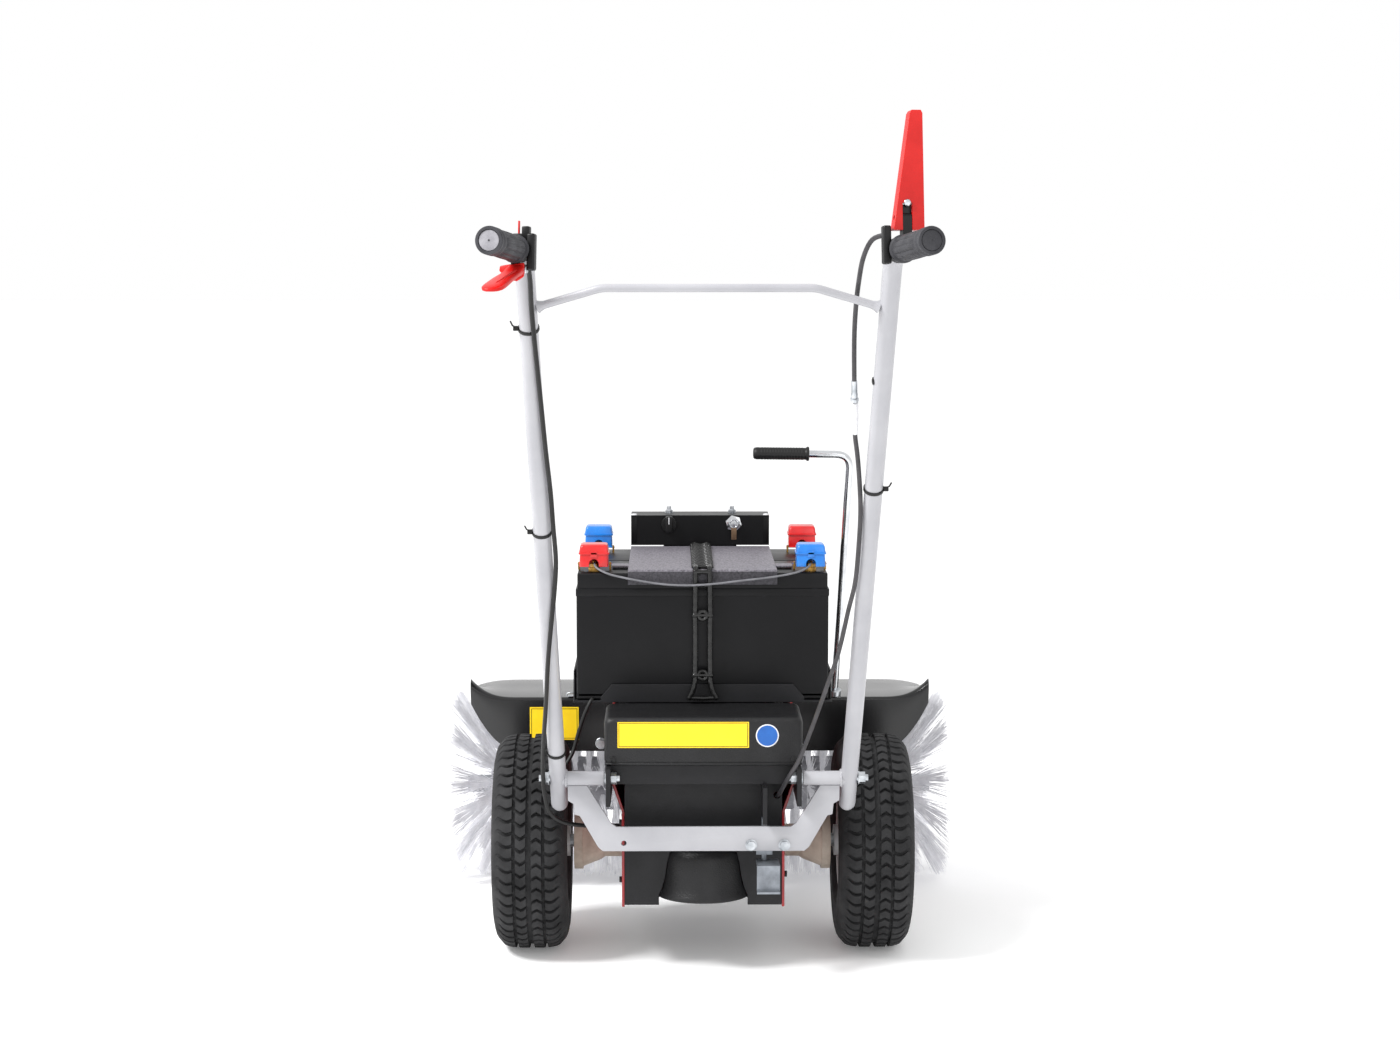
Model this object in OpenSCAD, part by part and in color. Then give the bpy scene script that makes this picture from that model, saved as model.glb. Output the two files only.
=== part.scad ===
// Walk-behind battery sweeper: a two-wheel driven chassis, a leaning handle and a
// cylindrical brush under a hood that swings left and right.
// +X to the machine's right, +Y the way it drives, +Z up, standing on the plane Z = 0.

/* [Wheels] */
// Radius of the tyre at the crown
tyre_r = 165; // [155:1:175]
// Width of the tyre
tyre_w = 114; // [110:1:124]
// Distance from the middle of the machine to the middle of a wheel
half_track = 262; // [262:1:275]

/* [Chassis] */
// Half the outer width of the chassis between its side plates
chassis_half = 122; // [121:0.5:123]
// Height of the chassis floor
floor_z = 95; // [85:1:100]
// Height of the battery tray's floor
tray_z = 391; // [389:1:395]

/* [Batteries] */
// Length of one battery across the machine
battery_l = 385; // [330:1:386]
// Depth of one battery along the machine
battery_d = 172; // [160:1:173]
// Height of one battery
battery_h = 194; // [170:1:196]

/* [Brush] */
// Radius of the brush at the bristle tips
brush_r = 160; // [150:1:162]
// Distance from the axle forward to the brush
brush_y = 490; // [485:1:500]
// Half the brush's width at its flared bristle tips
brush_half = 424; // [405:1:430]
// Largest swing of the brush head to either side
swing_max = 15; // [10:1:16]

/* [Handle] */
// Radius of a handle tube
tube_r = 12.5; // [11:0.5:13]
// Radius of a rubber grip
grip_r = 17; // [15:0.5:18]
// Splay of a grip outward from straight back
grip_splay = 12.8; // [8:0.1:16]
// Rise of a grip towards its end
grip_rise = 5; // [0:0.5:8]

/* [Hidden] */

// The axle stands this far ahead of the middle of the machine's length
axle_y = 113;
// Clearances
gap = 0.3;
run_fit = 0.05;

// Axle, pulleys and bell, as distances from the axle
axle_r = 10;
motor_y = -125;
pulley_z = 220;
pulley_h = 16;
motor_pulley_r = 18;
axle_pulley_r = 45;
pulley_groove = 6;
idler_post = [88, -15];
idler_reach = [-26, -63];
idler_roller_r = 14;

// Handle hinge line, and the latch pin that hangs below it
hinge_y = -197;
hinge_z = 300;
hinge_bolt_r = 5;
ear_x = 137.2;
ear_t = 6.8;
latch_x = 90;
latch_y = -184.2;
latch_r = 4;
latch_stroke = 9;
sector_r = 70;

// Handle tube: lower end, and the corner where it turns back into the grip
tube_foot = [214, -168, 258];
tube_knee = [233, -722, 1073];
knee_r = 40;
grip_from = 38;
grip_to = 155;
// Levers, in the grip's own frame
drive_pivot = [8, -27, 40];
brush_pivot = [0, -29, -24.5];
lever_pin_r = 3;
cable_r = 3.3;

// Swing head
king_y = 262;
king_r = 10;
hood_y = 308;
hood_z = 339;
hood_t = 3;
hood_flat = 300;
hood_half = 380;
beam_y = 326;
beam_z = 318;
shaft_r = 15;
lever_foot = [223, 324, 330.5];
lever_bend = [240, 200, 750];
lever_end = [96, 200, 752];
lever_rod_r = 6;

// Batteries
battery_y = -58.7;
battery_gap = 3;
battery_z = tray_z + 3.5;
battery_top = battery_z + battery_h;
cap_x = 165;
cap_near_y = -30;
cap_far_y = 254;
cap_z = battery_top + 9;
cap_size = [44, 42, 34];
cap_pin_r = 1.2;

// Routes of the two lever cables and the battery wire, as distances from the axle
cable_right_route = [[222, -737, 1094], [206, -722, 1088], [196, -706, 1066], [192, -680, 1035],
    [190, -655, 1000], [190, -630, 960], [193, -590, 905], [195, -570, 870], [197, -548, 833],
    [202, -530, 800], [206, -512, 765], [209, -492, 725], [209, -466, 679], [207, -425, 619],
    [200, -388, 574], [190, -345, 511], [178, -312, 464], [160, -270, 399], [141, -234, 338],
    [124, -212, 302], [114, -187, 277], [110, -158, 266]];
cable_left_route = [[-226, -742, 1052], [-225, -722, 1034], [-225, -698, 1005], [-223, -665, 960],
    [-218, -608, 879], [-214, -559, 810], [-210, -515, 753], [-208, -482, 702],
    [-206, -447, 650], [-210, -414, 600], [-215, -393, 559], [-222, -353, 496],
    [-227, -308, 432], [-233, -258, 367], [-236, -222, 317], [-234, -216, 280],
    [-226, -208, 250], [-206, -188, 232], [-172, -164, 222], [-140, -144, 218],
    [-123, -134, 216]];
wire_route = [[-164, -36, 603], [-164, -48, 600.5], [-158, -58, 595], [-138, -66, 587],
    [-100, -72, 579.5], [-60, -78, 574], [-20, -80, 572.5], [20, -80, 575], [60, -78, 579.5],
    [100, -74, 583.5], [138, -68, 589.5], [157, -60, 596], [164, -48, 600.5], [164, -36, 603]];

// ---------------------------------------------------------------- helpers

// Everything is drawn from the axle and then set at its place in the machine's frame
module placed() {
    translate([0, axle_y, 0]) children();
}

module slab(x0, x1, y0, y1, z0, z1) {
    translate([x0, y0, z0]) cube([x1 - x0, y1 - y0, z1 - z0]);
}

// Turns a shape drawn around Z onto the X axis, its Z pointing to +X
module along_x(x, y, z) {
    translate([x, y, z]) rotate([0, 90, 0]) children();
}

module along_y(x, y, z) {
    translate([x, y, z]) rotate([-90, 0, 0]) children();
}

module rod(p, q, r) {
    v = q - p;
    translate(p) rotate([0, acos(v[2] / norm(v)), atan2(v[1], v[0])])
        cylinder(h = norm(v), r = r, $fn = 32);
}

// Round bar along a list of points, with ball joints at the turns
module bar(points, r) {
    for (i = [0 : len(points) - 2]) rod(points[i], points[i + 1], r);
    for (i = [1 : 1 : len(points) - 2]) translate(points[i]) sphere(r = r + 0.05, $fn = 32);
}

module hex_x(x0, x1, across, y, z) {
    along_x(x0, y, z) cylinder(h = x1 - x0, r = across / 2 / cos(30), $fn = 6);
}

function unit(v) = v / norm(v);

// Closed skin through a list of equal rings
module loft(rings) {
    n = len(rings);
    m = len(rings[0]);
    points = [for (ring = rings) for (p = ring) p];
    sides = [for (i = [0 : n - 2]) for (k = [0 : m - 1])
        [i * m + k, (i + 1) * m + k, (i + 1) * m + (k + 1) % m, i * m + (k + 1) % m]];
    first = [for (k = [0 : m - 1]) k];
    last = [for (k = [m - 1 : -1 : 0]) (n - 1) * m + k];
    polyhedron(points = points, faces = concat(sides, [first], [last]), convexity = 8);
}

// Midpoints on a smooth curve through a route's points
function smoothed(p) = [for (i = [0 : len(p) - 1]) for (h = [0 : (i < len(p) - 1 ? 1 : 0)])
    h == 0 ? p[i]
    : (p[i] + p[i + 1]) * 9 / 16 - (p[max(i - 1, 0)] + p[min(i + 2, len(p) - 1)]) / 16];

function ring_at(p, i, r, side, sides) =
    let (t = unit(p[min(i + 1, len(p) - 1)] - p[max(i - 1, 0)]),
        a = unit(cross(t, side)), b = cross(t, a))
    [for (k = [0 : sides - 1]) p[i] + r * (cos(k * 360 / sides) * a - sin(k * 360 / sides) * b)];

module cord(route, r, side) {
    p = smoothed(route);
    loft([for (i = [0 : len(p) - 1]) ring_at(p, i, r, side, 8)]);
}

// ---------------------------------------------------------------- chassis

module side_plate() {
    inner = chassis_half - 4;
    outer = chassis_half;
    difference() {
        rotate([90, 0, 0]) translate([0, 0, -205]) linear_extrude(height = 354.7)
            polygon([[inner, floor_z], [outer, floor_z], [outer, 240], [ear_x - 0.2, 283],
                [ear_x - 0.2, tray_z - gap], [ear_x - 4.2, tray_z - gap], [ear_x - 4.2, 284],
                [inner, 241]]);
        along_x(inner - 5, 0, tyre_r) cylinder(h = 20, r = 25.2, $fn = 48);
        slab(inner - 1, outer + 1, -142, -126, 208, 224);
        slab(ear_x - 6, ear_x + 1, -151, -62, 382, 392);
    }
}

module side_plate_left() {
    color("firebrick") placed() mirror([1, 0, 0]) side_plate();
}

module side_plate_right() {
    color("firebrick") placed() side_plate();
}

// Folded sheet that closes the back and the bottom of the chassis
module rear_panel() {
    half = chassis_half - 4 - gap;
    color([0.12, 0.12, 0.13]) placed() difference() {
        rotate([90, 0, 90]) translate([0, 0, -half]) linear_extrude(height = 2 * half)
            polygon([[-156, 288], [-156, 245], [-150, 237], [-150, 98], [204, 98],
                [204, 101], [-147.5, 101], [-147.5, 238], [-153.5, 246], [-153.5, 288]]);
        translate([0, motor_y, 0]) rotate_extrude($fn = 64) polygon([[0, 90], [70.8, 90],
            [70.8, 113.4], [66.8, 122.4], [62.3, 140.4], [59.3, 162.4], [55.8, 177.8],
            [48.6, 184.8], [0, 184.8]]);
        along_y(110, -160, 266) cylinder(h = 12, r = 5, $fn = 24);
    }
}

module battery_tray() {
    color([0.13, 0.13, 0.14]) placed() {
        slab(-197, 197, -62, 300, tray_z, tray_z + 3);
        for (y = [-62, 297.3]) rotate([90, 0, 0]) translate([0, 0, -y - 2.7])
            linear_extrude(height = 2.7) polygon([[-155, tray_z + 2], [155, tray_z + 2],
                [155, tray_z + 8], [138, tray_z + 28], [-138, tray_z + 28], [-155, tray_z + 8]]);
        for (side = [-1, 1]) rotate([90, 0, 90]) translate([0, 0, side > 0 ? 194.3 : -197])
            linear_extrude(height = 2.7) polygon([[-50, tray_z + 2], [290, tray_z + 2],
                [280, tray_z + 46], [-40, tray_z + 46]]);
    }
}

module cover_outline(half, top, r) {
    translate([-half, 319]) square([2 * half, top - 319 - r]);
    translate([-half + r, 319]) square([2 * half - 2 * r, top - 319]);
    for (side = [-1, 1]) translate([side * (half - r), top - r]) circle(r = r, $fn = 48);
}

// Moulded cover over the motor controller
module rear_cover() {
    color([0.1, 0.1, 0.11]) placed() difference() {
        rotate([90, 0, 0]) translate([0, 0, 64]) linear_extrude(height = 131)
            cover_outline(147, 390, 11);
        rotate([90, 0, 0]) translate([0, 0, 60]) linear_extrude(height = 132)
            translate([0, -1]) cover_outline(144, 387.5, 9);
        slab(-144, 144, -192, -60, 310, 330);
    }
}

module controller() {
    color("silver") placed() {
        slab(-85, 85, -180, -80, 321, 352);
        for (i = [0 : 8]) slab(-80 + i * 20 - 2, -80 + i * 20 + 2, -178, -82, 351, 368);
    }
}

// Flared, domed cover round the upright drive motor
module bell_cover() {
    color([0.1, 0.1, 0.11]) placed() translate([0, motor_y, 0]) rotate_extrude($fn = 64)
        polygon([[66.5, 110], [70, 110], [70, 113], [66, 122], [61.5, 140], [58.5, 162],
            [55, 177], [48, 184], [10, 184], [10, 181], [46.5, 181], [52, 175.5], [55.3, 161],
            [58.3, 139], [63, 121], [66.5, 113]]);
}

module drive_motor() {
    color("dimgray") placed() translate([0, motor_y, 0]) difference() {
        union() {
            translate([0, 0, 112]) cylinder(h = 60, r = 47, $fn = 64);
            translate([0, 0, 170]) cylinder(h = 9, r = 30, $fn = 64);
        }
        translate([0, 0, 148]) cylinder(h = 40, r = 7 + run_fit, $fn = 48);
    }
}

module axle_bell() {
    rotate_extrude($fn = 64) polygon([[0, 100], [24.9, 100], [24.9, 150], [29, 156], [40, 184],
        [44, 184], [44, 197.5], [20, 197.5], [20, 190], [0, 190]]);
}

// Cast gear housing on the axle, with a flared bearing end at each wheel
module transaxle() {
    color([0.5, 0.48, 0.45]) placed() {
        difference() {
            union() {
                slab(-105, 105, -52, 60, 112, 212);
                for (side = [0, 1]) mirror([side, 0, 0]) along_x(0, 0, tyre_r) axle_bell();
            }
            for (side = [0, 1]) mirror([side, 0, 0]) along_x(60, 0, tyre_r)
                cylinder(h = 140, r = axle_r + run_fit, $fn = 48);
            translate([0, 0, 182]) cylinder(h = 40, r = 8 + run_fit, $fn = 48);
        }
        translate([idler_post[0], idler_post[1], 211]) cylinder(h = 22, r = 6, $fn = 48);
    }
}

// Cross channel with the two hinge ears and the slotted plate for the handle's latch
module handle_mount() {
    color([0.14, 0.14, 0.15]) placed() {
        slab(-ear_x, ear_x, -186, -158.5, 289, 317);
        for (side = [-1, 1]) difference() {
            slab(side > 0 ? ear_x : -ear_x - ear_t, side > 0 ? ear_x + ear_t : -ear_x,
                -222, -96, 262, 317.5);
            along_x(side * (ear_x + ear_t / 2) - 10, hinge_y, hinge_z)
                cylinder(h = 20, r = hinge_bolt_r + 0.2, $fn = 48);
        }
        difference() {
            intersection() {
                along_x(latch_x - 3, hinge_y, hinge_z) cylinder(h = 6, r = sector_r, $fn = 96);
                slab(latch_x - 4, latch_x + 4, -225, -158.5, 225, 290);
            }
            rotate([90, 0, 90]) translate([hinge_y, hinge_z, latch_x - 5])
                linear_extrude(height = 10) intersection() {
                    polygon([[0, 0], [90 * sin(-12), -90 * cos(12)], [20, -95],
                        [90 * sin(29), -90 * cos(29)]]);
                    difference() {
                        circle(r = sector_r + 5, $fn = 96);
                        circle(r = sector_r - 8.5, $fn = 96);
                    }
                }
        }
    }
}

// The handle's two hinge bolts with their nuts and washers, and the brush head's kingpin
module hinge_pins() {
    color("silver") placed() {
        for (side = [0, 1]) mirror([side, 0, 0]) {
            along_x(124, hinge_y, hinge_z) cylinder(h = 119, r = hinge_bolt_r, $fn = 48);
            hex_x(128.6, 136.9, 16, hinge_y, hinge_z);
            hex_x(229.5, 238.5, 16, hinge_y, hinge_z);
            along_x(228, hinge_y, hinge_z) cylinder(h = 1.8, r = 10, $fn = 48);
            along_x(144.3, hinge_y, hinge_z) cylinder(h = 1.9, r = 9.5, $fn = 48);
        }
        translate([0, king_y, 180]) cylinder(h = 79, r = king_r, $fn = 64);
        translate([0, king_y, 258.3]) cylinder(h = 5, r = 15, $fn = 64);
    }
}

module battery(y) {
    lid = 24;
    slab(-battery_l / 2 + 1.5, battery_l / 2 - 1.5, y + 1.5, y + battery_d - 1.5,
        battery_z, battery_top - lid + 1);
    slab(-battery_l / 2, battery_l / 2, y, y + battery_d, battery_top - lid, battery_top);
}

module battery_rear() {
    color([0.07, 0.07, 0.08]) placed() battery(battery_y);
}

module battery_front() {
    color([0.07, 0.07, 0.08]) placed() battery(battery_y + battery_d + battery_gap);
}

module battery_clamp() {
    z = battery_top + gap;
    color([0.2, 0.2, 0.21]) placed() {
        slab(-113, 113, -66, 274, z + 2, z + 6);
        slab(-113, 113, -66, -63, z - 17, z + 3);
        slab(-110, 110, -40, 260, z, z + 2.5);
        for (side = [-1, 1]) slab(side > 0 ? 112 : -139, side > 0 ? 139 : -112, -4, 30, z + 2, z + 5);
    }
}

// Rubber ladder strap from the clamp plate down to the tray
module hold_down_strap() {
    top = battery_top + gap + 6.2;
    color([0.06, 0.06, 0.06]) placed() {
        for (side = [-1, 1]) {
            slab(side * 10.5 - 3.5, side * 10.5 + 3.5, -74, -67, tray_z + 9, top + 7);
            slab(side * 10.5 - 3.5, side * 10.5 + 3.5, -74, 265, top, top + 7);
        }
        for (z = [430, 475, 522, 572]) slab(-9, 9, -73, -68, z, z + 9);
        for (y = [-56 : 44 : 252]) slab(-9, 9, y, y + 9, top + 1, top + 6);
        slab(-20, 20, -74, -67, tray_z + 7, tray_z + 15);
    }
}

// Post beside a terminal cap that holds one end of the cap's hinge pin
module cap_post(x, y) {
    difference() {
        slab(x - 1.5, x + 1.5, y - 3, y + 3, battery_top + gap, cap_z + 3);
        along_x(x - 3, y, cap_z) cylinder(h = 6, r = cap_pin_r + run_fit, $fn = 32);
    }
}

// The cap's hinge line runs along its edge nearest the middle of the batteries
function cap_hinge_y(y) = y + (y == cap_near_y ? 1 : -1) * cap_size[1] / 2;

module terminal_bolts() {
    color("gold") placed() for (x = [-cap_x, cap_x]) for (y = [cap_near_y, cap_far_y]) {
        for (side = [-1, 1]) cap_post(x + side * (cap_size[0] / 2 + 1.8), cap_hinge_y(y));
        translate([x, y, battery_top + gap]) cylinder(h = 6, r = 9, $fn = 48);
        translate([x, y, battery_top + 6]) cylinder(h = 6, r = 7.5, $fn = 6);
        translate([x, y, battery_top + 11]) cylinder(h = 5, r = 3.5, $fn = 32);
    }
}

module battery_wire() {
    color("gray") placed() cord(wire_route, 1.6, [0, 0, 1]);
}

module control_box() {
    color([0.12, 0.12, 0.13]) placed() {
        difference() {
            slab(-113, 113, 278, 346, 596, 645);
            slab(-110.5, 110.5, 280.5, 350, 598.5, 642.5);
            along_y(-51, 270, 630) cylinder(h = 20, r = 4 + run_fit, $fn = 48);
            along_y(55, 270, 632) cylinder(h = 20, r = 7 + run_fit, $fn = 48);
        }
        slab(-60, 60, 301, 304, tray_z + 3, 600);
        slab(-60, 60, 298, 304, tray_z - 5, tray_z);
        slab(-60, 60, 300.3, 304, tray_z - 5, tray_z + 5);
    }
}

module king_plate(z) {
    difference() {
        union() {
            translate([0, king_y, z]) cylinder(h = 8, r = 21, $fn = 64);
            translate([0, 0, z]) linear_extrude(height = 8)
                polygon([[-45, 210], [45, 210], [21, king_y], [-21, king_y]]);
        }
        translate([0, king_y, z - 1]) cylinder(h = 10, r = king_r + run_fit, $fn = 64);
    }
}

// Front cross plate with the two forks that hold the brush head
module head_bracket() {
    half = chassis_half - 4 - gap;
    color([0.14, 0.14, 0.15]) placed() {
        slab(-half, half, 206, 212, 102, 380);
        king_plate(188);
        king_plate(250);
    }
}

// ---------------------------------------------------------------- controls and terminal caps

module control_knob() {
    color([0.08, 0.08, 0.08]) placed() along_y(-51, 0, 630) {
        translate([0, 0, 272.3]) cylinder(h = 5.4, r = 13, $fn = 64);
        translate([0, 0, 276]) cylinder(h = 10, r = 4, $fn = 48);
        translate([-6, -13, 257.4]) cube([12, 26, 15.6]);
    }
}

module key_switch() {
    color("silver") placed() along_y(55, 0, 632) {
        translate([0, 0, 267.4]) cylinder(h = 10.3, r = 9.4, $fn = 48);
        translate([0, 0, 274.4]) cylinder(h = 3.3, r = 13.4, $fn = 6);
        translate([0, 0, 276]) cylinder(h = 12, r = 7, $fn = 48);
        translate([-1, -6, 262.6]) cube([2, 12, 6.4]);
        translate([-4.4, 4, 262.6]) cube([8.8, 20, 2.4]);
    }
}

// Open-bottomed terminal cap, thin walled, with its hinge pin along one lower edge
module cap(x, y) {
    w = cap_size[0];
    d = cap_size[1];
    h = cap_size[2];
    wall = 2.5;
    translate([x, y, cap_z]) difference() {
        translate([-w / 2, -d / 2, 0]) cube([w, d, h]);
        translate([-w / 2 + wall, -d / 2 + wall, -1]) cube([w - 2 * wall, d - 2 * wall, h - wall + 1]);
        translate([-8, -d / 2 - 1, -1]) cube([16, d + 2, 9]);
        translate([-w / 2 - 1, -6, -1]) cube([wall + 2, 12, 8]);
        translate([w / 2 - wall - 1, -14, -1]) cube([wall + 2, 12, 8]);
    }
    along_x(x - w / 2 - 3, cap_hinge_y(y), cap_z) cylinder(h = w + 6, r = cap_pin_r, $fn = 32);
}

module cap_red_rear() {
    color("red") placed() cap(-cap_x, cap_near_y);
}

module cap_blue_rear() {
    color("deepskyblue") placed() cap(cap_x, cap_near_y);
}

module cap_blue_front() {
    color("deepskyblue") placed() cap(-cap_x, cap_far_y);
}

module cap_red_front() {
    color("red") placed() cap(cap_x, cap_far_y);
}

// ---------------------------------------------------------------- traction belt drive

module pulley(r, hub_r, foot_z) {
    rotate_extrude($fn = 64) polygon([[0, foot_z], [hub_r, foot_z], [hub_r, pulley_z],
        [r, pulley_z], [r, pulley_z + 2.5], [r - pulley_groove, pulley_z + 4],
        [r - pulley_groove, pulley_z + pulley_h - 4], [r, pulley_z + pulley_h - 2.5],
        [r, pulley_z + pulley_h], [0, pulley_z + pulley_h]]);
}

module motor_pulley() {
    color("silver") placed() translate([0, motor_y, 0]) pulley(motor_pulley_r, 7, 150);
}

module transaxle_pulley() {
    color("silver") placed() pulley(axle_pulley_r, 8, 184);
}

// Outline of a band round both pulleys, at a distance from their rims
function belt_outline(out) = let (small = motor_pulley_r + out, big = axle_pulley_r + out,
    lean = asin((big - small) / -motor_y))
    concat([for (a = [-lean : (180 + 2 * lean) / 32 : 180 + lean + 0.01]) [big * cos(a), big * sin(a)]],
        [for (a = [180 + lean : (180 - 2 * lean) / 20 : 360 - lean + 0.01])
            [small * cos(a), motor_y + small * sin(a)]]);

module traction_belt() {
    color([0.1, 0.1, 0.1]) placed() translate([0, 0, pulley_z + 4.5])
        linear_extrude(height = pulley_h - 9) difference() {
            polygon(belt_outline(1.5));
            polygon(belt_outline(0.5 - pulley_groove));
        }
}

module idler_arm() {
    color("silver") placed() translate([idler_post[0], idler_post[1], 0]) {
        difference() {
            union() {
                translate([0, 0, 214]) cylinder(h = 14, r = 11, $fn = 48);
                translate([0, 0, 214]) linear_extrude(height = 4)
                    polygon([[8, -4], [-9, 4], idler_reach + [-7, 3], idler_reach + [7, -3]]);
            }
            translate([0, 0, 213]) cylinder(h = 16, r = 6 + run_fit, $fn = 48);
        }
        translate([idler_reach[0], idler_reach[1], 214]) {
            cylinder(h = 22, r = 8, $fn = 48);
            translate([0, 0, 7]) cylinder(h = 13, r = idler_roller_r, $fn = 48);
        }
    }
}

// ---------------------------------------------------------------- wheels

module tyre() {
    w = tyre_w / 2;
    r = tyre_r;
    along_x(half_track, 0, tyre_r) rotate_extrude($fn = 96) polygon([
        [78, -w + 11], [88, -w + 11], [93, -w + 4], [120, -w], [148, -w + 3], [r - 5, -w + 15],
        [r, -w + 35], [r, w - 35], [r - 5, w - 15], [148, w - 3], [120, w], [93, w - 4],
        [88, w - 11], [78, w - 11], [78, w - 19], [93, w - 12], [120, w - 8], [145, w - 11],
        [r - 12, w - 22], [r - 9, 0], [r - 12, -w + 22], [145, -w + 11], [120, -w + 8],
        [93, -w + 12], [78, -w + 19]]);
}

// Steel rim with its hub; the dished disc faces outward
module rim() {
    w = tyre_w / 2;
    along_x(half_track, 0, tyre_r) difference() {
        rotate_extrude($fn = 96) polygon([
            [axle_r, -58], [24, -58], [24, -12], [40, -4], [60, 2], [73, 2], [73, -w + 9],
            [86, -w + 8], [86, -w + 10.7], [77.7, -w + 10.7], [77.7, w - 10.7], [86, w - 10.7],
            [86, w - 8], [73, w - 9], [73, 6], [60, 6], [38, 1], [24, -4], [24, 32],
            [axle_r, 32]]);
        for (a = [45 : 90 : 315]) rotate([0, 0, a]) translate([54, 0, -20])
            cylinder(h = 40, r = 7, $fn = 32);
    }
}

module axle_shaft() {
    along_x(66, 0, tyre_r) cylinder(h = half_track + 38 - 66, r = axle_r, $fn = 64);
}

module tyre_left() {
    color([0.05, 0.05, 0.05]) placed() mirror([1, 0, 0]) tyre();
}

module rim_left() {
    color("whitesmoke") placed() mirror([1, 0, 0]) rim();
}

module axle_shaft_left() {
    color("silver") placed() mirror([1, 0, 0]) axle_shaft();
}

module tyre_right() {
    color([0.05, 0.05, 0.05]) placed() tyre();
}

module rim_right() {
    color("whitesmoke") placed() rim();
}

module axle_shaft_right() {
    color("silver") placed() axle_shaft();
}

// ---------------------------------------------------------------- brush head

// Swivel barrel, arm and cross beam that carry the hood
module head_frame() {
    color([0.14, 0.14, 0.15]) placed() {
        difference() {
            union() {
                translate([0, king_y, 196.3]) cylinder(h = 53.4, r = 20, $fn = 64);
                slab(-18, 18, king_y + 12, 312, 200, 245);
                slab(-28, 28, 302, 432, 200, 245);
            }
            translate([0, king_y, 190]) cylinder(h = 70, r = king_r + run_fit, $fn = 64);
        }
        slab(-28, 28, 288, 304, 240, 268);
        translate([0, king_y, 265]) cylinder(h = 4, r = 40, $fn = 64);
        slab(-28, 28, 316, 336, 240, 318);
        along_x(-300, beam_y, beam_z) cylinder(h = 600, r = 12, $fn = 48);
        for (x = [-210, 0, 180]) slab(x - 15, x + 15, 323, 335, beam_z + 9, hood_z - hood_t - 1);
    }
}

module gear_case() {
    color([0.5, 0.48, 0.45]) placed() difference() {
        union() {
            along_x(-30, brush_y, brush_r) cylinder(h = 60, r = 50, $fn = 64);
            slab(-28, 28, 432.3, 470, 165, 240);
            along_x(-34, brush_y, brush_r) cylinder(h = 68, r = 24, $fn = 64);
        }
        along_x(-40, brush_y, brush_r) cylinder(h = 80, r = shaft_r + run_fit, $fn = 64);
    }
}

module brush_motor() {
    color("dimgray") placed() translate([0, king_y, 0]) {
        translate([0, 0, 269.3]) cylinder(h = 70, r = 38, $fn = 64);
        translate([0, 0, 338]) cylinder(h = 8, r = 30, $fn = 64);
    }
}

// One cross-section of the hood's sheet at a distance x from the middle
function hood_rise(x) = pow(max(0, abs(x) - hood_flat) / (hood_half - hood_flat), 2);
function hood_skin(x, inset) = let (
    s = hood_rise(x),
    back = hood_y + inset,
    top = hood_z - inset + 30 * s * sqrt(s),
    foot = 249 + 78 * s,
    soft = 10 + 26 * s)
    [[back + 8 * s, foot], [back, (foot + top) / 2], [back, top - soft],
        [back + 0.3 * soft, top - 0.3 * soft], [back + soft, top],
        [400, top + 1], [480, top + 2], [540, top - 8], [590, top - 32], [630, top - 62],
        [645, top - 84]];
function hood_ring(x) = let (outer = hood_skin(x, 0), inner = hood_skin(x, hood_t))
    [for (p = outer) [x, p[0], p[1]],
        for (i = [len(inner) - 1 : -1 : 0])
            [x, inner[i][0] - (i > 8 ? 2.5 : 0), inner[i][1] + (i == 0 ? hood_t : 0)]];

module hood() {
    stations = [for (s = [-1, 1]) for (i = [0 : 8])
        s < 0 ? -hood_half + i * (hood_half - hood_flat) / 8
        : hood_flat + i * (hood_half - hood_flat) / 8];
    color([0.1, 0.1, 0.11]) placed() difference() {
        loft([for (x = stations) hood_ring(x)]);
        slab(-40, 40, 300, 315, 240, 290);
        translate([lever_foot[0] + 0.5, 320, 320]) cylinder(h = 40, r = 10, $fn = 32);
    }
}

module swing_lever() {
    bend = 22;
    up = unit(lever_foot - lever_bend);
    across = unit(lever_end - lever_bend);
    corner = [for (t = [0 : 0.25 : 1])
        lever_bend + up * bend * (1 - t) * (1 - t) + across * bend * t * t];
    color("silver") placed() bar(concat([lever_foot], corner, [lever_end]), lever_rod_r);
}

module swing_grip() {
    color([0.05, 0.05, 0.05]) placed() difference() {
        union() {
            rod([172, 200, lever_end[2]], [84, 200, lever_end[2]], 10);
            rod([174, 200, lever_end[2]], [170, 200, lever_end[2]], 11.5);
        }
        rod([180, 200, lever_end[2] - 0.7], [94, 200, lever_end[2]], lever_rod_r + 0.8);
    }
}

module brush_shaft() {
    color("silver") placed() along_x(-398, brush_y, brush_r)
        cylinder(h = 796, r = shaft_r, $fn = 64);
}

// Half of the brush: a sleeve with its bristles as one outline
module brush_half_roller() {
    along_x(0, brush_y, brush_r) rotate_extrude($fn = 96) polygon([
        [shaft_r + 0.1, 37], [brush_r - 6, 37], [brush_r, 43], [brush_r, 395],
        [brush_r, brush_half - 4], [brush_r - 5, brush_half], [100, brush_half - 34],
        [48, brush_half - 68], [shaft_r + 0.1, brush_half - 68]]);
}

module brush_left() {
    color("gainsboro") placed() mirror([1, 0, 0]) brush_half_roller();
}

module brush_right() {
    color("gainsboro") placed() brush_half_roller();
}

// ---------------------------------------------------------------- handle

function grip_axis() = [sin(grip_splay) * cos(grip_rise), -cos(grip_splay) * cos(grip_rise),
    sin(grip_rise)];

// Frame of a grip: origin at the knee of the tube, -Y out along the grip
module at_grip() {
    translate(tube_knee) rotate([-grip_rise, 0, grip_splay]) children();
}

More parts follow.
